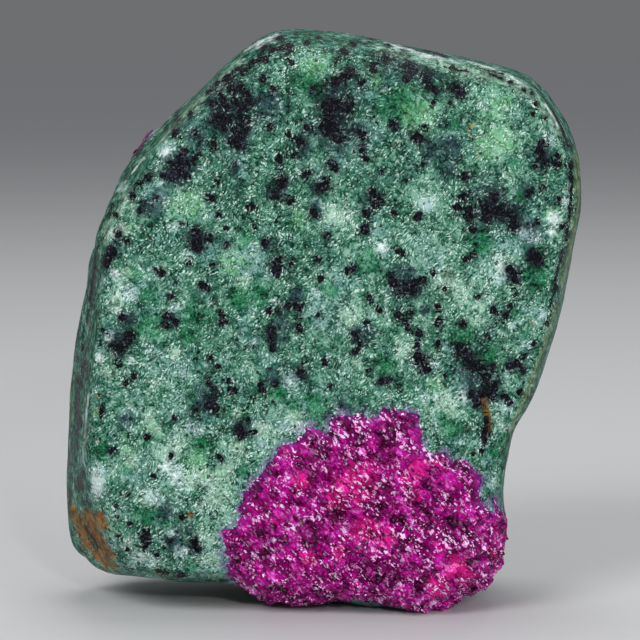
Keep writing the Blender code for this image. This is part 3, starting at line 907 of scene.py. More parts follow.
@dataclass(frozen=True)
class ZoisiteFinish:
    """Green zoisite: a felt of fine pale needles over mottled green, with black hornblende grains and stains.

    Attributes:
        greens: the mottled ground, from its darkest to its lightest grains.
        veil: what the ground's colour is multiplied by where it turns bluish grey.
        needle, white: the two ends of the needles' colour.
        grain_black, grain_violet: the two ends of the hornblende's colour.
        grain_painted_glint: the colour of glints painted on its small faces, a painted highlight.
    """

    greens: tuple[tuple[float, Colour], ...] = (
        (0.10, (0.000, 0.006, 0.004)),
        (0.30, (0.002, 0.046, 0.026)),
        (0.50, (0.017, 0.112, 0.062)),
        (0.70, (0.058, 0.205, 0.132)),
        (0.92, (0.220, 0.410, 0.320)),
    )
    veil: Colour = (1.00, 0.93, 1.16)
    needle: Colour = (0.130, 0.370, 0.240)
    white: Colour = (0.640, 0.820, 0.750)
    grain_black: Colour = (0.0008, 0.0015, 0.003)
    grain_violet: Colour = (0.016, 0.013, 0.032)
    grain_painted_glint: Colour = (0.100, 0.085, 0.150)
    roughness: float = 0.24
    specular: float = 0.07

    def material(self, shared: SharedEffects) -> bpy.types.Material:
        """Builds the material.

        Args:
            shared: the node groups it uses.

        Returns:
            The material.
        """
        material, graph, shader, place = new_material("tumbled_green_zoisite")
        bend = graph.scaled(graph.vector("SUBTRACT", graph.noise(place, 3.0, 2.0, out=1), (0.5, 0.5, 0.5)), 2.2)
        bent = graph.vector("ADD", place, bend)
        felt = graph.attribute(Tone.FELT.attribute)
        mottle = graph.math("ADD", self.mottle(graph, place, bent), graph.math("MULTIPLY", felt, 0.17))
        colour = graph.ramp(mottle, self.greens)
        veiled = graph.step(graph.noise(place, 3.6, 4.0, 0.6), 0.44, 0.62)
        colour = graph.mix(veiled, colour, graph.vector("MULTIPLY", colour, self.veil))
        lift = graph.math("MULTIPLY_ADD", mottle, 2.1)
        lift.node.inputs[2].default_value = 0.0
        for tone in Tone:
            if tone.strength:
                colour = self.patched(graph, shared, colour, tone, place, lift)
        near_grain = graph.step(graph.attribute("grain_reach"), 2.1, 1.0, 1.0, 0.45)
        level = graph.add("ShaderNodeCombineXYZ", 0, None, X=near_grain, Y=near_grain, Z=near_grain)
        colour = graph.vector("MULTIPLY", colour, level)
        needles, painted_sparkle = self.needles(graph, shared, place, bent)
        # Needles are hidden under the ochre, which holds a stain and the painted shade along the foot.
        ochre = graph.attribute(Tone.OCHRE.attribute)
        bare = graph.step(ochre, 0.2, 0.7, 1.0, 0.12)
        colour = graph.mix(graph.math("MULTIPLY", needles, bare), colour, self.needle_colour(graph, place, painted_sparkle))
        grains = self.grains(graph, place, painted_sparkle)
        tint = graph.step(graph.noise(place, 0.5, 3.0, 0.6), 0.50, 0.68)
        black = graph.mix(tint, self.grain_black, self.grain_violet)
        # Painted highlights: small violet-grey glints laid into the hornblende's colour.
        painted_grain_glint = graph.step(graph.noise(place, 0.42, 3.0, 0.7), 0.60, 0.68, 0.0, 0.75)
        colour = graph.mix(grains, colour, graph.mix(painted_grain_glint, black, self.grain_painted_glint))
        graph.give(shader.inputs["Base Color"], colour)
        rough = graph.math("MULTIPLY_ADD", graph.noise(place, 0.35, 3.0, 0.6), 0.24)
        rough.node.inputs[2].default_value = self.roughness - 0.12
        rough = graph.math("SUBTRACT", rough, graph.math("MULTIPLY", grains, 0.10))
        rough = graph.math("ADD", rough, graph.step(graph.attribute("broad"), 0.0, 1.0, 0.20, 0.0))
        graph.give(shader.inputs["Roughness"], rough)
        shader.inputs["Specular IOR Level"].default_value = self.specular
        height = graph.math("MULTIPLY", needles, 0.022)
        height = graph.math("ADD", height, graph.math("MULTIPLY", mottle, 0.10))
        height = graph.math("SUBTRACT", height, graph.math("MULTIPLY", grains, 0.045))
        bump = graph.add("ShaderNodeBump", 0, None, Strength=0.8, Distance=METRES, Height=height)
        graph.give(shader.inputs["Normal"], bump)
        return material

    def needle_colour(self, graph: Graph, place: Socket, painted_sparkle: Socket) -> Socket:
        """The needles' colour: green ones, and whiter ones in the pale patches, here and there, and where the painted
        sparkle lies.
        """
        white: Value = graph.step(graph.noise(place, 1.0, 4.0, 0.7), 0.46, 0.68, 0.10, 0.80)
        for tone, share in ((Tone.CREAM, 0.30), (Tone.FROST, 0.45), (Tone.FELT, 0.10), (Tone.GREEN, -0.3)):
            white = graph.math("ADD", white, graph.math("MULTIPLY", graph.attribute(tone.attribute), share))
        white = graph.math("ADD", white, graph.math("MULTIPLY", painted_sparkle, 0.60), clamp=True)
        return graph.mix(white, self.needle, self.white)

    def mottle(self, graph: Graph, place: Socket, bent: Socket) -> Socket:
        """The light and dark of the green ground, from 0 to 1."""
        broad = graph.attribute("broad")
        total: Value = graph.step(broad, 0.0, 1.0, 0.47, 0.5)
        grain = graph.add("ShaderNodeSeparateColor", 0, None, Color=graph.cells(bent, 0.50, "Color"))
        parts = (
            (graph.noise(place, 0.30, 3.0, 0.75), graph.step(broad, 0.0, 1.0, 0.5, 2.1)),
            (graph.noise(place, 1.3, 3.0, 0.6), graph.step(broad, 0.0, 1.0, 1.9, 1.15)),
            (graph.noise(place, 4.5, 3.0, 0.55), 0.9),
            (grain, 0.36),
        )
        for pattern, share in parts:
            centred = graph.math("SUBTRACT", pattern, 0.5)
            total = graph.math("ADD", total, graph.math("MULTIPLY", centred, share))
        return total

    def patched(
        self, graph: Graph, shared: SharedEffects, colour: Socket, tone: Tone, place: Socket, lift: Socket
    ) -> Socket:
        """The colour with one tone's patches laid over it.

        Args:
            graph: the material's graph.
            shared: the node groups it uses.
            colour: what lies under the patches.
            tone: which patches to lay.
            place: the place on the stone in millimetres.
            lift: how light each part of the ground is.

        Returns:
            The new colour.
        """
        patch = graph.attribute(tone.attribute)
        solid = tone in (Tone.OCHRE, Tone.OLIVE, Tone.CHALK, Tone.GOLD)
        spread = 0.7 if solid else 2.2
        mask = graph.group(shared.ragged, "Mask", Field=patch, Place=place, Grain=0.6, Spread=spread)
        covered = graph.math("MULTIPLY", mask, tone.strength)
        shaded = graph.vector("MULTIPLY", tone.colour, graph.add("ShaderNodeCombineXYZ", 0, None, X=lift, Y=lift, Z=lift))
        return graph.mix(covered, colour, shaded)

    def needles(self, graph: Graph, shared: SharedEffects, place: Socket, bent: Socket) -> tuple[Socket, Socket]:
        """Pale needles lying several ways.

        Args:
            graph: the material's graph.
            shared: the node groups it uses.
            place: the place on the stone in millimetres.
            bent: the same place, bent so that the needles aren't parallel.

        Returns:
            How much needle shows at each place, and the brightest ones alone, whitened as painted sparkle.
        """
        total: Value = 0.0
        for turn in NEEDLE_TURNS:
            mask = graph.group(shared.needles, "Mask", Place=bent, Turn=turn, Length=0.86, Width=0.28, Share=0.50)
            bright = graph.step(mask.node.outputs["Bright"], 0.20, 1.0)
            total = graph.math("MAXIMUM", total, graph.math("MULTIPLY", mask, bright))
        felted = graph.step(graph.noise(place, 2.6, 3.0, 0.6), 0.38, 0.62, 0.26, 0.90)
        shares = ((Tone.CREAM, 0.4), (Tone.FROST, 0.5), (Tone.LEAF, 0.1), (Tone.GREEN, -0.45), (Tone.FELT, 0.20), (Tone.SLATE, -0.5))
        for tone, share in shares:
            felted = graph.math("ADD", felted, graph.math("MULTIPLY", graph.attribute(tone.attribute), share))
        felted = graph.math("MULTIPLY", felted, graph.step(graph.attribute("broad"), 0.0, 1.0, 0.16, 1.0))
        # Painted sparkle: the brightest needles, made whiter and denser as glints.
        painted_sparkle = graph.step(total, 0.82, 0.98)
        felted = graph.math("ADD", felted, graph.math("MULTIPLY", painted_sparkle, 0.25))
        return graph.math("MULTIPLY", total, felted, clamp=True), painted_sparkle

    def grains(self, graph: Graph, place: Socket, painted_sparkle: Socket) -> Socket:
        """Where the hornblende shows: the placed grains, ragged, and a scatter of fine specks.

        Args:
            graph: the material's graph.
            place: the place on the stone in millimetres.
            painted_sparkle: the painted sparkle of the brightest needles, which shows through the grains.

        Returns:
            A mask of the grains.
        """
        ragged = graph.scaled(graph.vector("SUBTRACT", graph.noise(place, 0.80, 4.0, 0.65, out=1), (0.5, 0.5, 0.5)), 1.8)
        offset = graph.vector("ADD", graph.attribute("grain_offset", "Vector"), ragged)
        inside = graph.step(graph.vector("LENGTH", offset), 0.96, 0.74)
        inside = graph.math("MULTIPLY", inside, graph.step(graph.attribute("grain_reach"), 2.1, 1.8))
        speck = graph.cells(place, 0.95, "Distance").node
        chance = graph.add("ShaderNodeSeparateColor", 0, None, Color=speck.outputs["Color"])
        slate = graph.attribute(Tone.SLATE.attribute)
        wanted = graph.math("MULTIPLY_ADD", slate, 0.55)
        wanted.node.inputs[2].default_value = 0.14
        roughened = graph.math("MULTIPLY_ADD", graph.noise(place, 0.28, 2.0), 0.5)
        roughened.node.inputs[2].default_value = 0.02
        size = graph.math("MULTIPLY", graph.math("LESS_THAN", chance, wanted), roughened)
        spot = graph.step(graph.math("SUBTRACT", size, speck.outputs["Distance"]), -0.04, 0.05)
        total = graph.math("MAXIMUM", inside, graph.math("MULTIPLY", spot, 0.80))
        cover = graph.math("SUBTRACT", 1.0, graph.math("MULTIPLY", painted_sparkle, 0.28))
        return graph.math("MULTIPLY", total, cover)


@dataclass(frozen=True)
class RubyFinish:
    """Rough ruby: sugary magenta crystal with painted lilac glints on its cleavage faces, violet towards its contact
    with the rock.

    Attributes:
        reds: the body's colour, from its darkest to its lightest faces.
        glow: the hot pink where light comes back through.
        rim: the violet near the contact.
        painted_glint: the pale lilac painted on faces as glints, a painted highlight that is partly the paler colour of
            fractured faces.
    """

    reds: tuple[tuple[float, Colour], ...] = (
        (0.10, (0.014, 0.000, 0.010)),
        (0.30, (0.110, 0.000, 0.060)),
        (0.50, (0.280, 0.000, 0.150)),
        (0.72, (0.540, 0.002, 0.315)),
        (0.94, (0.800, 0.110, 0.680)),
    )
    glow: Colour = (0.860, 0.012, 0.270)
    rim: Colour = (0.130, 0.014, 0.170)
    painted_glint: Colour = (1.000, 0.620, 1.000)
    refraction: float = 1.76
    lie: float = -0.8
    specular: float = 0.08

    def material(self, shared: SharedEffects) -> bpy.types.Material:
        """Builds the material.

        Args:
            shared: the node groups it uses.

        Returns:
            The material.
        """
        material, graph, shader, place = new_material("rough_magenta_ruby")
        bend = graph.scaled(graph.vector("SUBTRACT", graph.noise(place, 1.8, 2.0, out=1), (0.5, 0.5, 0.5)), 0.8)
        bent = graph.vector("ADD", place, bend)
        laid = graph.add(
            "ShaderNodeVectorRotate", 0, {"rotation_type": "EULER_XYZ"}, Vector=bent, Rotation=(0.0, self.lie, 0.0)
        )
        laid = graph.vector("MULTIPLY", laid, (0.55, 1.0, 1.1))
        large = graph.group(shared.facets, "Height", Place=laid, Size=0.95, Tilt=0.75)
        small = graph.group(shared.facets, "Height", Place=laid, Size=0.30, Tilt=0.60)
        value = graph.math("MULTIPLY", large.node.outputs["Random"], 0.40)
        value = graph.math("ADD", value, graph.math("MULTIPLY", small.node.outputs["Random"], 0.28))
        value = graph.math("ADD", value, graph.math("MULTIPLY", graph.noise(place, 1.9, 3.0, 0.6), 1.05))
        value = graph.math("SUBTRACT", value, 0.36)
        colour = graph.ramp(value, self.reds)
        lift = graph.math("MULTIPLY_ADD", value, 1.6)
        lift.node.inputs[2].default_value = 0.1
        level = graph.add("ShaderNodeCombineXYZ", 0, None, X=lift, Y=lift, Z=lift)
        glow = graph.group(shared.ragged, "Mask", Field=graph.attribute("glow"), Place=place, Grain=0.8, Spread=1.8)
        colour = graph.mix(graph.math("MULTIPLY", glow, 0.55), colour, graph.vector("MULTIPLY", self.glow, level))
        edge = graph.math("ADD", graph.attribute("inward"), graph.math("MULTIPLY", graph.noise(place, 0.9, 3.0), 0.5))
        edge = graph.step(edge, 0.75, 0.25)
        colour = graph.mix(graph.math("MULTIPLY", edge, 0.70), colour, graph.vector("MULTIPLY", self.rim, level))
        # Painted highlights: pale lilac glints laid over the colour, partly the paler colour of fractured faces.
        painted_glints = self.painted_glints(graph, shared, place, bent, small.node.outputs["Random"], large.node.outputs["Random"])
        colour = graph.mix(painted_glints, colour, self.painted_glint)
        # Painted shade: the cavities, and the side crystal all over, mixed towards near black.
        dark = graph.group(shared.ragged, "Mask", Field=graph.attribute("hollow"), Place=place, Grain=0.5, Spread=1.6)
        colour = graph.mix(graph.math("MULTIPLY", dark, 0.85), colour, (0.020, 0.0, 0.012))
        graph.give(shader.inputs["Base Color"], colour)
        rough = graph.math("MULTIPLY_ADD", small.node.outputs["Random"], 0.14)
        rough.node.inputs[2].default_value = 0.07
        graph.give(shader.inputs["Roughness"], rough)
        height = graph.math("ADD", large, small)
        bump = graph.add("ShaderNodeBump", 0, None, Strength=0.9, Distance=METRES, Height=height)
        graph.give(shader.inputs["Normal"], bump)
        shader.inputs["IOR"].default_value = self.refraction
        shader.inputs["Specular IOR Level"].default_value = self.specular
        return material

    def painted_glints(
        self, graph: Graph, shared: SharedEffects, place: Socket, bent: Socket, faces: Socket, broad_faces: Socket
    ) -> Socket:
        """Painted highlights: small pale glints painted on the faces, partly the paler colour of fractured faces, in
        dashes lying several ways and in drifts.

        Args:
            graph: the material's graph.
            shared: the node groups it uses.
            place: the place on the crystal in millimetres.
            bent: the same place, bent so that the dashes aren't parallel.
            faces: a random number for each of the small cleavage faces.
            broad_faces: the same for the large ones.

        Returns:
            How much painted glint shows at each place.
        """
        lucky = graph.math("ADD", faces, graph.math("MULTIPLY", graph.noise(place, 1.3, 3.0, 0.6), 1.2))
        total: Value = graph.step(lucky, 1.50, 1.56)
        chance = graph.math("MULTIPLY_ADD", graph.noise(place, 0.6, 3.0, 0.7), 1.3)
        graph.give(chance.node.inputs[2], broad_faces)
        total = graph.math("MAXIMUM", total, graph.step(chance, 1.66, 1.72))
        for turn, length, width in zip(PAINTED_GLINT_TURNS, (1.3, 0.8, 1.6, 0.9), (0.42, 0.30, 0.50, 0.36)):
            mask = graph.group(shared.needles, "Mask", Place=bent, Turn=turn, Length=length, Width=width, Share=0.34)
            chosen = graph.step(mask.node.outputs["Bright"], 0.64, 0.86)
            total = graph.math("MAXIMUM", total, graph.math("MULTIPLY", graph.step(mask, 0.30, 0.52), chosen))
        drifts = graph.step(graph.noise(place, 2.4, 3.0, 0.6), 0.40, 0.58, 0.12, 1.0)
        return graph.math("MULTIPLY", total, drifts)


# ---------------------------------------------------------------------------------------------------------------
# The stone
# ---------------------------------------------------------------------------------------------------------------


FRONT_DEPTH = 0.25  # how much of its length a step along the view counts for in the marks of the front


@dataclass
class Anchor:
    """One mark on the stone: its middle, its radius in millimetres, its stretch and turn, and a seam's other end."""

    middle: Array
    radius: float
    stretch: float = 1.0
    turn: float = 0.0
    end: Array | None = None
    depth: float = 1.0

    def across(self, points: Array) -> Array:
        """Where each point lies from the mark's middle, or from its seam, in units of its own size."""
        offsets = points - self.middle
        if self.end is not None:
            along = self.end - self.middle
            share = np.clip(offsets @ along / (along @ along), 0.0, 1.0)
            return (offsets - share[:, None] * along) * (1.0, self.depth, 1.0) / self.radius
        turn = np.array(Euler((self.turn, self.turn * 1.7, self.turn * 0.6)).to_matrix())
        shape = np.array((self.stretch, 1 / self.stretch, 1.0)) * self.radius
        return (offsets * (1.0, self.depth, 1.0)) @ turn.T / shape

    def near(self, points: Array, reach: float) -> Array:
        """The points that may lie within so many of the mark's own sizes."""
        ends = np.array([self.middle, self.middle if self.end is None else self.end])[:, (0, 2)]
        low, high = ends.min(axis=0) - reach * self.radius, ends.max(axis=0) + reach * self.radius
        flat = points[:, (0, 2)]
        return np.flatnonzero(((flat > low) & (flat < high)).all(axis=1))


@dataclass
class TumbledStone:
    """The whole stone's outer surface, before the crystals are told from the rock.

    Attributes:
        shell: the surface on its grid.
        blur_rounds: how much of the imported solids' facets is smoothed away.
        undulations: the height and spacing of the gentle lumps that tumbling left.
    """

    shell: StarShell = field(
        default_factory=lambda: StarShell((0.0, 0.0, 40.0), (35.7, 18.75, 40.0), (162, 48, 178))
    )
    blur_rounds: int = 40
    undulations: tuple[tuple[float, float], ...] = ((0.16, 6.5), (0.08, 2.6), (0.05, 1.2))
    tree: BVHTree = field(init=False)

    def __post_init__(self) -> None:
        """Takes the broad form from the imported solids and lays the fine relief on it."""
        solids = tree_of(*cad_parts.values())
        self.shell.reach = outermost(solids, self.shell.centre, self.shell.directions)[0]
        self.shell.without_slots(0.45)
        self.shell.reach = self.shell.kept_smooth(self.shell.reach, self.blur_rounds)
        self.retree()

    def retree(self) -> None:
        """Renews the tree after the surface has changed."""
        points = self.grounded()
        self.tree = BVHTree.FromPolygons(points.tolist(), self.shell.quads.tolist())

    def grounded(self) -> Array:
        """The surface's points, worn flat at the floor."""
        points = self.shell.points()
        points[:, 2] = np.maximum(points[:, 2], 0.0)
        return points

    def anchor(self, mark: Mark) -> Anchor:
        """Where a mark of the front view lies on the stone.

        Args:
            mark: the mark in the view's frame.

        Returns:
            Its anchor on the surface.
        """
        eye, way = VIEW.eye(), VIEW.ray(mark[0], mark[1])
        hit = self.tree.ray_cast(Vector(eye), Vector(way))[0]
        if hit is None:
            beside = Vector(eye + way * VIEW.distance)
            hit = self.tree.find_nearest(beside)[0]
        return Anchor(np.array(hit), mark[2] * VIEW.unit(), depth=FRONT_DEPTH)

    def relieve(self, grains: list[Anchor]) -> None:
        """Lays the lumps, the plucked grains' pits and the grooves on the surface."""
        points = self.shell.points()
        rise = sum(height * waves(points, spacing, height) for height, spacing in self.undulations)
        finder = near_tree(points)
        for index, grain in enumerate(grains):
            if index % 3 == 0:
                for place, vertex, away in finder.find_range(grain.middle.tolist(), grain.radius * 1.5):
                    rise[vertex] -= 0.14 * (1 - away / (grain.radius * 1.5)) ** 0.5
        for (across, down), width, height in SWELLS:
            place = self.anchor((across, down, 1)).middle
            for _, vertex, away in finder.find_range(place.tolist(), width * 2.5):
                rise[vertex] = max(rise[vertex], rise[vertex] * 0.5 + height * math.exp(-((away / width) ** 2)))
        for line, width, depth in GROOVES:
            for place in self.along(line):
                for _, vertex, away in finder.find_range(place, width * 3):
                    rise[vertex] = min(rise[vertex], -depth * math.exp(-((away / width) ** 2)))
        self.shell.reach = self.shell.reach + rise
        self.retree()

    def along(self, line: tuple[tuple[float, float], ...], spacing: float = 1.0) -> list[list[float]]:
        """Places on the surface along a line of the front view."""
        places: list[list[float]] = []
        for (x0, y0), (x1, y1) in zip(line, line[1:]):
            steps = max(1, round(math.hypot(x1 - x0, y1 - y0) / spacing))
            for step in range(steps):
                share = step / steps
                places.append(self.anchor((x0 + (x1 - x0) * share, y0 + (y1 - y0) * share, 1)).middle.tolist())
        return places


@dataclass
class Markings:
    """All the marks of the stone: those placed one by one on its front, and the like scattered over the rest.

    Attributes:
        stone: the surface that they lie on.
        seed: the seed of the scatter.
        clusters: how many clusters of grains the unseen sides have.
        singles: how many single grains they have.
        scattered: for each tone, how many patches they have and the range of radii.
    """

    stone: TumbledStone
    seed: int = 11
    clusters: int = 90
    singles: int = 330
    scattered: dict[Tone, tuple[int, float, float]] = field(
        default_factory=lambda: {
            Tone.SLATE: (26, 1.2, 2.6),
            Tone.GREEN: (110, 1.0, 2.6),
            Tone.LEAF: (46, 1.2, 3.0),
            Tone.CREAM: (60, 0.7, 1.8),
            Tone.FROST: (100, 0.6, 1.3),
            Tone.CHALK: (24, 0.4, 0.9),
            Tone.FELT: (40, 2.0, 6.0),
            Tone.OCHRE: (9, 0.4, 1.0),
            Tone.OLIVE: (26, 1.0, 3.0),
        }
    )
    grains: list[Anchor] = field(init=False)
    seams_and_shade_lines: list[Anchor] = field(init=False)
    patches: dict[Tone, list[Anchor]] = field(init=False)

    def __post_init__(self) -> None:
        """Finds where each mark lies."""
        random = np.random.default_rng(self.seed)
        self.grains = [self.stone.anchor(mark) for mark in GRAINS]
        self.patches = {tone: [self.stone.anchor(mark) for mark in PATCHES.get(tone, ())] for tone in Tone}
        for tone, lines in STREAKS.items():
            for line, half_width in lines:
                radius = half_width * VIEW.unit()
                for place in self.stone.along(line, half_width):
                    self.patches[tone].append(Anchor(np.array(place), radius, depth=FRONT_DEPTH))
        self.seams_and_shade_lines = [seam for line, half_width in SEAMS_AND_SHADE_LINES for seam in self.seam(line, half_width)]
        for grain in self.grains:
            grain.stretch, grain.turn = random.uniform(0.75, 1.35), random.uniform(0, math.pi)
        points, away = self.stone.grounded(), self.hidden_side()
        for _ in range(self.clusters):
            middle = points[random.choice(away)]
            self.patches[Tone.SLATE].append(Anchor(middle, random.uniform(1.6, 3.8)))
            for _ in range(random.integers(3, 11)):
                near = middle + random.normal(0, 1.5, 3)
                self.grains.append(self.grain_near(near, random))
        for _ in range(self.singles):
            self.grains.append(self.grain_near(points[random.choice(away)], random))
        for tone, (count, least, most) in self.scattered.items():
            for _ in range(count):
                self.patches[tone].append(Anchor(points[random.choice(away)], random.uniform(least, most)))

    def seam(self, line: tuple[tuple[float, float], ...], half_width: float) -> list[Anchor]:
        """The short straight parts of one seam.

        Args:
            line: its points in the front view's frame.
            half_width: half its width in the frame's units.

        Returns:
            One anchor for each part.
        """
        places = [np.array(place) for place in self.stone.along(line, 6.0)]
        places.append(self.stone.anchor((*line[-1], half_width)).middle)
        radius = 1.7 * half_width * VIEW.unit()
        pairs = zip(places, places[1:])
        return [Anchor(start, radius, end=end, depth=FRONT_DEPTH) for start, end in pairs]

    def hidden_side(self) -> Array:
        """The vertices that face away from the front view."""
        facing = self.stone.shell.normals() @ unit(VIEW.eye() - np.array(VIEW.target))
        return np.flatnonzero(facing < 0.12)

    def grain_near(self, place: Array, random: np.random.Generator) -> Anchor:
        """A grain of random size and shape on the surface next to a place."""
        hit = self.stone.tree.find_nearest(Vector(place))[0]
        radius = 0.42 + 0.75 * random.random() ** 2
        return Anchor(np.array(hit), radius, random.uniform(0.75, 1.35), random.uniform(0, math.pi))

    def paint(self, thing: bpy.types.Object) -> None:
        """Stores the marks as vertex attributes of a piece."""
        points = vertex_places(thing)
        for tone in Tone:
            set_attribute(thing, tone.attribute, patch_field(points, self.patches[tone]))
        offset = np.full((len(points), 3), 9.0)
        reach = np.full(len(points), 3.0)
        for grain in self.grains + self.seams_and_shade_lines:
            near = grain.near(points, 4.0)
            across = grain.across(points[near])
            length = np.linalg.norm(across, axis=1)
            closer = length < reach[near]
            reach[near[closer]] = length[closer]
            offset[near[closer]] = across[closer]
        normals = np.zeros(len(points) * 3, np.float32)
        thing.data.vertex_normals.foreach_get("vector", normals)
        set_attribute(thing, "broad", smooth_step(np.abs(normals.reshape(-1, 3)[:, 1]), 0.3, 0.75))
        set_attribute(thing, "grain_offset", offset)
        set_attribute(thing, "grain_reach", reach)


def patch_field(points: Array, anchors: list[Anchor]) -> Array:
    """How far inside the nearest patch each point lies: 1 in its middle, and 0 a little past its border."""
    total = np.zeros(len(points))
    for patch in anchors:
        near = patch.near(points, 1.35)
        away = np.linalg.norm(patch.across(points[near]), axis=1)
        total[near] = np.maximum(total[near], np.minimum(1.0, 1.35 - away))
    return total


SOCKET_OPENING = 2.0  # how far a socket's cutter stands out of the stone


@dataclass
class RubyCrystal:
    """One ruby: a rough mass of cleavage faces in the stone's surface, closed by its contact with the rock.

    Attributes:
        node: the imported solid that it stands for.
        name: the piece's name.
        centre: a point inside, from which every ray meets its surface once.
        half_size: half the size of the box that its rays are spread over.
        counts: the grid's cells across, front to back and up.
        wander: how far its contact strays from the solid's, and over what distances.
        faces: the size, tilt and step of each scale of cleavage faces.
        coarse_share: how much of the solid's own relief it keeps.
        rim_width: how far in from its rim the relief reaches its full height.
        dullness: how dark all of it is.
        socket_share: how much of its socket's mesh is kept.
    """

    stone: TumbledStone
    node: str
    name: str
    centre: tuple[float, float, float]
    half_size: tuple[float, float, float]
    counts: tuple[int, int, int]
    shaded_hollows: tuple[Mark, ...] = ()
    glows: tuple[Mark, ...] = ()
    wander: tuple[tuple[float, float], ...] = ((0.9, 2.8), (0.55, 1.0))
    faces: tuple[tuple[float, float, float], ...] = ((2.0, 0.34, 0.16), (0.95, 0.42, 0.12))
    coarse_share: float = 0.7
    rim_width: float = 2.4
    dullness: float = 0.0
    socket_share: float = 0.42
    body: bpy.types.Object = field(init=False)
    socket: bpy.types.Object = field(init=False)
    rim: Array = field(init=False)

    def build(self) -> bpy.types.Object:
        """Builds the crystal's mesh with its attributes, and the solid that cuts its socket.

        Returns:
            The crystal.
        """
        shell = StarShell(self.centre, self.half_size, self.counts)
        centre = np.array(self.centre)
        solid = tree_of(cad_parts[self.node])
        skin_reach = outermost(self.stone.tree, centre, shell.directions)[0]
        skin = centre + shell.directions * skin_reach[:, None]
        strayed = skin + sum(size * drift(skin, spacing, size) for size, spacing in self.wander)
        ways = unit(strayed - centre)
        solid_reach, solid_normals = outermost(solid, centre, ways)
        strayed_reach, skin_normals = outermost(self.stone.tree, centre, ways)
        proud = solid_reach - strayed_reach
        turned_away = (solid_normals * skin_normals).sum(axis=1) < 0.55
        walled = ((proud < -0.3) & turned_away) | (proud < -1.6)
        walled = shell.joined(shell.blurred(walled.astype(float), 4) > 0.5, self.stone.shell.centre - centre)
        inward = self.from_rim(skin, walled)
        ramp = smooth_step(inward, 0.0, self.rim_width)
        relief = self.coarse_share * np.clip(shell.blurred(np.clip(proud, -0.1, 1.2), 2), -0.1, 1.2)
        for index, (size, tilt, step) in enumerate(self.faces):
            relief = relief + cleavage(skin, size, tilt, step, 40 + 10 * index)
        # The cavities: sunk into the relief below, and darkened with painted shade in the finish.
        hollow = patch_field(skin, [self.stone.anchor(mark) for mark in self.shaded_hollows])
        glow = patch_field(skin, [self.stone.anchor(mark) for mark in self.glows])
        outer = skin_reach + ramp * relief - 0.04 * (1 - ramp) - 0.75 * hollow * ramp
        shell.reach = np.where(walled, np.minimum(solid_reach + 0.15, skin_reach - 0.05), outer)
        points = shell.points()
        points[:, 2] = np.maximum(points[:, 2], 0.0)
        self.body = make_object(self.name, points, shell.quads)
        inner = ~walled & (shell.blurred(walled.astype(float), 1) == 0.0)
        self.rim = skin[~walled & ~inner]
        shell.reach = np.where(inner, skin_reach + SOCKET_OPENING, shell.reach)
        self.socket = make_object(f"{self.name}_socket", shell.points(), shell.quads)
        self.thin_socket(walled & (shell.reach < skin_reach - 1.2))
        inward_share = np.clip(inward / 3.0, 0.0, 1.0)
        set_attribute(self.body, "inward", np.where(walled, 0.0, inward_share))
        # Painted shade in the cavities, and the side crystal's darkening all over.
        set_attribute(self.body, "hollow", np.where(walled, 0.0, np.maximum(hollow, self.dullness)))
        set_attribute(self.body, "glow", glow)
        open_skin = smooth_step(inward, 0.3, 0.9) * smooth_step(points[:, 2], 0.95, 1.6)
        open_skin = open_skin * smooth_step(-skin_normals[:, 1], 0.4, 0.9)
        set_attribute(self.body, "open_skin", np.where(walled, 0.0, open_skin))
        self.body.data.set_sharp_from_angle(angle=math.radians(26.0))
        return self.body

    def thin_socket(self, deep: Array) -> None:
        """Thins the socket's mesh where the crystal hides it."""
        group = self.socket.vertex_groups.new(name="deep")
        group.add(np.flatnonzero(deep).tolist(), 1.0, "ADD")
        thin = self.socket.modifiers.new("Thin walls", "DECIMATE")
        thin.vertex_group = group.name
        thin.ratio = self.socket_share

    def from_rim(self, skin: Array, walled: Array) -> Array:
        """How far each point of the skin lies from the crystal's rim, in millimetres."""
        rim = near_tree(skin[walled])
        return np.array([rim.find(place)[2] for place in skin.tolist()]) * np.where(walled, 0.0, 1.0)


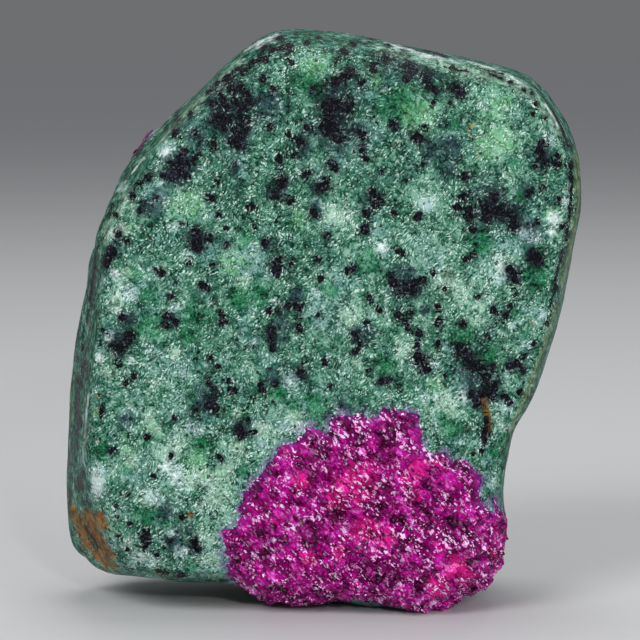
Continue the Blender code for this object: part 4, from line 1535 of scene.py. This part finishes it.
@dataclass
class CrystalChips:
    """Small angular crystals that stand on a ruby's open skin, made by Geometry Nodes.

    Attributes:
        ruby: the crystal that they stand on.
        name: the piece's name.
        density: how many there are for each square metre.
        least, most: the range of their sizes along each axis, in metres.
        seed: the seed of the scatter.
    """

    ruby: RubyCrystal
    name: str
    density: float = 1.0e6
    least: tuple[float, float, float] = (0.00040, 0.00014, 0.00022)
    most: tuple[float, float, float] = (0.00130, 0.00034, 0.00065)
    seed: int = 5

    def tree(self) -> bpy.types.NodeTree:
        """The node tree that scatters the chips."""
        tree = bpy.data.node_groups.new("scatter_crystal_chips", "GeometryNodeTree")
        kinds = (
            ("Geometry", "NodeSocketGeometry"), ("Density", FLOAT_SOCKET), ("Least", VECTOR_SOCKET),
            ("Most", VECTOR_SOCKET), ("Seed", "NodeSocketInt"), ("Finish", "NodeSocketMaterial"),
        )
        for label, kind in kinds:
            tree.interface.new_socket(name=label, in_out="INPUT", socket_type=kind)
        tree.interface.new_socket(name="Geometry", in_out="OUTPUT", socket_type="NodeSocketGeometry")
        graph = Graph(tree)
        given = tree.nodes.new("NodeGroupInput").outputs
        result = tree.nodes.new("NodeGroupOutput").inputs
        open_skin = graph.add("GeometryNodeInputNamedAttribute", 0, {"data_type": "FLOAT"}, Name="open_skin")
        density = graph.math("MULTIPLY", open_skin, given["Density"])
        points = graph.add(
            "GeometryNodeDistributePointsOnFaces", "Points", None,
            Mesh=given["Geometry"], Density=density, Seed=given["Seed"],
        )
        chip = graph.add("GeometryNodeMeshCube", "Mesh", None, Size=(1.0, 1.0, 1.0))
        lie, wobble = Vector((0.0, 0.8, 0.0)), Vector((0.6, 0.6, 0.6))
        turn = graph.add(
            "FunctionNodeRandomValue", 0, {"data_type": "FLOAT_VECTOR"}, i0=tuple(lie - wobble), i1=tuple(lie + wobble),
            Seed=1,
        )
        size = graph.add(
            "FunctionNodeRandomValue", 0, {"data_type": "FLOAT_VECTOR"}, i0=given["Least"], i1=given["Most"], Seed=2
        )
        spread = graph.add(
            "GeometryNodeInstanceOnPoints", 0, None, Points=points, Instance=chip, Rotation=turn, Scale=size
        )
        real = graph.add("GeometryNodeRealizeInstances", 0, None, Geometry=spread)
        flat = graph.add("GeometryNodeSetShadeSmooth", 0, None, Geometry=real, Shade_Smooth=False)
        dressed = graph.add("GeometryNodeSetMaterial", 0, None, Geometry=flat, Material=given["Finish"])
        graph.give(result["Geometry"], dressed)
        return tree

    def build(self, finish: bpy.types.Material) -> bpy.types.Object:
        """Scatters the chips.

        Args:
            finish: the chips' material.

        Returns:
            All the chips as one plain mesh.
        """
        chips = bpy.data.objects.new(self.name, self.ruby.body.data.copy())
        bpy.context.scene.collection.objects.link(chips)
        modifier = chips.modifiers.new("Scatter", "NODES")
        modifier.node_group = self.tree()
        values = {
            "Density": self.density, "Least": self.least, "Most": self.most, "Seed": self.seed, "Finish": finish
        }
        for socket in modifier.node_group.interface.items_tree:
            if socket.in_out == "INPUT" and socket.name in values:
                modifier[socket.identifier] = values[socket.name]
        return finished(chips)


@dataclass
class ZoisiteRock:
    """The green rock: the tumbled stone less its crystals."""

    stone: TumbledStone
    markings: Markings
    name: str = "zoisite_rock"

    def build(self, rubies: list[RubyCrystal]) -> bpy.types.Object:
        """Cuts the crystals' sockets into the stone and paints its marks.

        Args:
            rubies: the crystals that it holds.

        Returns:
            The rock.
        """
        rock = make_object(self.name, self.stone.grounded(), self.stone.shell.quads)
        for ruby in rubies:
            cut = rock.modifiers.new(f"Socket of {ruby.name}", "BOOLEAN")
            cut.operation = "DIFFERENCE"
            cut.solver = "MANIFOLD"
            cut.object = ruby.socket
        finished(rock)
        for ruby in rubies:
            bpy.data.objects.remove(ruby.socket)
        rock.data.shade_smooth()
        rock.data.set_sharp_from_angle(angle=math.radians(40.0))
        rims = [Anchor(place, 0.85) for ruby in rubies for place in ruby.rim[::3]]
        self.markings.patches[Tone.FRINGE].extend(rims)
        self.markings.paint(rock)
        return rock


# ---------------------------------------------------------------------------------------------------------------
# The studio
# ---------------------------------------------------------------------------------------------------------------


@dataclass(frozen=True)
class SoftBox:
    """One square studio light: where it stands, how wide it is and its power in watts."""

    name: str
    place: tuple[float, float, float]
    width: float
    power: float

    def make(self) -> None:
        """Sets the light up, turned to the stone's middle."""
        data = bpy.data.lights.new(self.name, "AREA")
        data.size = self.width
        data.energy = self.power
        light = bpy.data.objects.new(self.name, data)
        light.location = self.place
        towards = Vector((0.0, 0.0, 0.04)) - light.location
        light.rotation_euler = towards.to_track_quat("-Z", "Y").to_euler()
        bpy.context.scene.collection.objects.link(light)


@dataclass(frozen=True)
class Studio:
    """A pale floor, a pale surround and soft lights."""

    floor_half_width: float = 14.0
    floor_drop: float = 0.00002
    floor_colour: Colour = (0.62, 0.62, 0.63)
    surround: Colour = (0.80, 0.82, 0.85)
    surround_strength: float = 0.30
    horizon_share: float = 0.645
    lights: tuple[SoftBox, ...] = (
        SoftBox("key_light", (-0.42, -0.62, 0.62), 0.42, 4.6),
        SoftBox("fill_light", (0.62, -0.50, 0.34), 0.50, 2.2),
        SoftBox("top_light", (0.05, 0.20, 0.80), 0.45, 2.4),
        SoftBox("glint_light", (0.16, -0.72, 0.30), 0.06, 1.2),
    )

    def build(self) -> None:
        """Makes the floor, the surround, the lights and the camera."""
        side = self.floor_half_width
        corners = np.array(((-side, -side), (side, -side), (side, side), (-side, side))) / METRES
        points = np.column_stack((corners, np.full(4, -self.floor_drop / METRES)))
        floor = make_object("studio_floor", points, np.array(((0, 1, 2, 3),)))
        material, graph, shader, _ = new_material("studio_floor_paper")
        shader.inputs["Base Color"].default_value = (*self.floor_colour, 1.0)
        shader.inputs["Roughness"].default_value = 0.7
        floor.data.materials.append(material)
        world = bpy.data.worlds.new("studio_surround")
        world.use_nodes = True
        background = world.node_tree.nodes["Background"]
        background.inputs["Strength"].default_value = self.surround_strength
        sky = Graph(world.node_tree)
        height = sky.add("ShaderNodeSeparateXYZ", "Z", None, Vector=sky.add("ShaderNodeTexCoord", "Generated"))
        low = tuple(part * self.horizon_share for part in self.surround)
        sky.give(background.inputs["Color"], sky.mix(sky.step(height, 0.0, 0.5), low, self.surround))
        bpy.context.scene.world = world
        bpy.context.scene.view_settings.view_transform = "Standard"
        for light in self.lights:
            light.make()
        VIEW.make_camera()


def report(piece: bpy.types.Object) -> None:
    """Logs a finished piece's name and size in triangles."""
    piece.data.calc_loop_triangles()
    log.info("%s: %d triangles", piece.name, len(piece.data.loop_triangles))


def settle(piece: bpy.types.Object, finish: bpy.types.Material, node: str | None = None) -> None:
    """Dresses a finished piece and ties it to the frame.

    Args:
        piece: the piece.
        finish: its material.
        node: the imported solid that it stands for, if any.
    """
    piece.data.materials.clear()
    piece.data.materials.append(finish)
    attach(piece, "root")
    if node:
        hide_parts(node)
    report(piece)


def main() -> None:
    """Builds the stone, its crystals and the studio, in that order."""
    logging.basicConfig(level=logging.INFO, format="%(message)s")
    shared = SharedEffects.build()
    zoisite = ZoisiteFinish().material(shared)
    ruby_red = RubyFinish().material(shared)
    stone = TumbledStone()
    markings = Markings(stone)
    stone.relieve(markings.grains)
    rubies = [
        RubyCrystal(
            stone, "ruby_crystal_front", "front_ruby", (7.0, -7.5, 12.0), (20.0, 10.5, 14.5), (150, 64, 108),
            SHADED_HOLLOWS, GLOWS,
        ),
        RubyCrystal(
            stone, "ruby_crystal_side", "side_ruby", (-22.4, 5.2, 60.4), (4.5, 6.0, 4.5), (32, 42, 32),
            wander=((0.5, 2.2), (0.3, 0.9)), faces=((1.6, 0.12, 0.06), (0.7, 0.16, 0.04)), coarse_share=0.3,
            dullness=0.85,
        ),
    ]
    for ruby in rubies:
        ruby.build()
    rock = ZoisiteRock(stone, markings).build(rubies)
    settle(rock, zoisite, "zoisite_matrix")
    for ruby in rubies:
        settle(ruby.body, ruby_red, ruby.node)
    chips = CrystalChips(rubies[0], f"{rubies[0].name}_chips").build(ruby_red)
    settle(chips, ruby_red)
    Studio().build()
    bpy.context.view_layer.update()


if __name__ == "__main__":
    main()
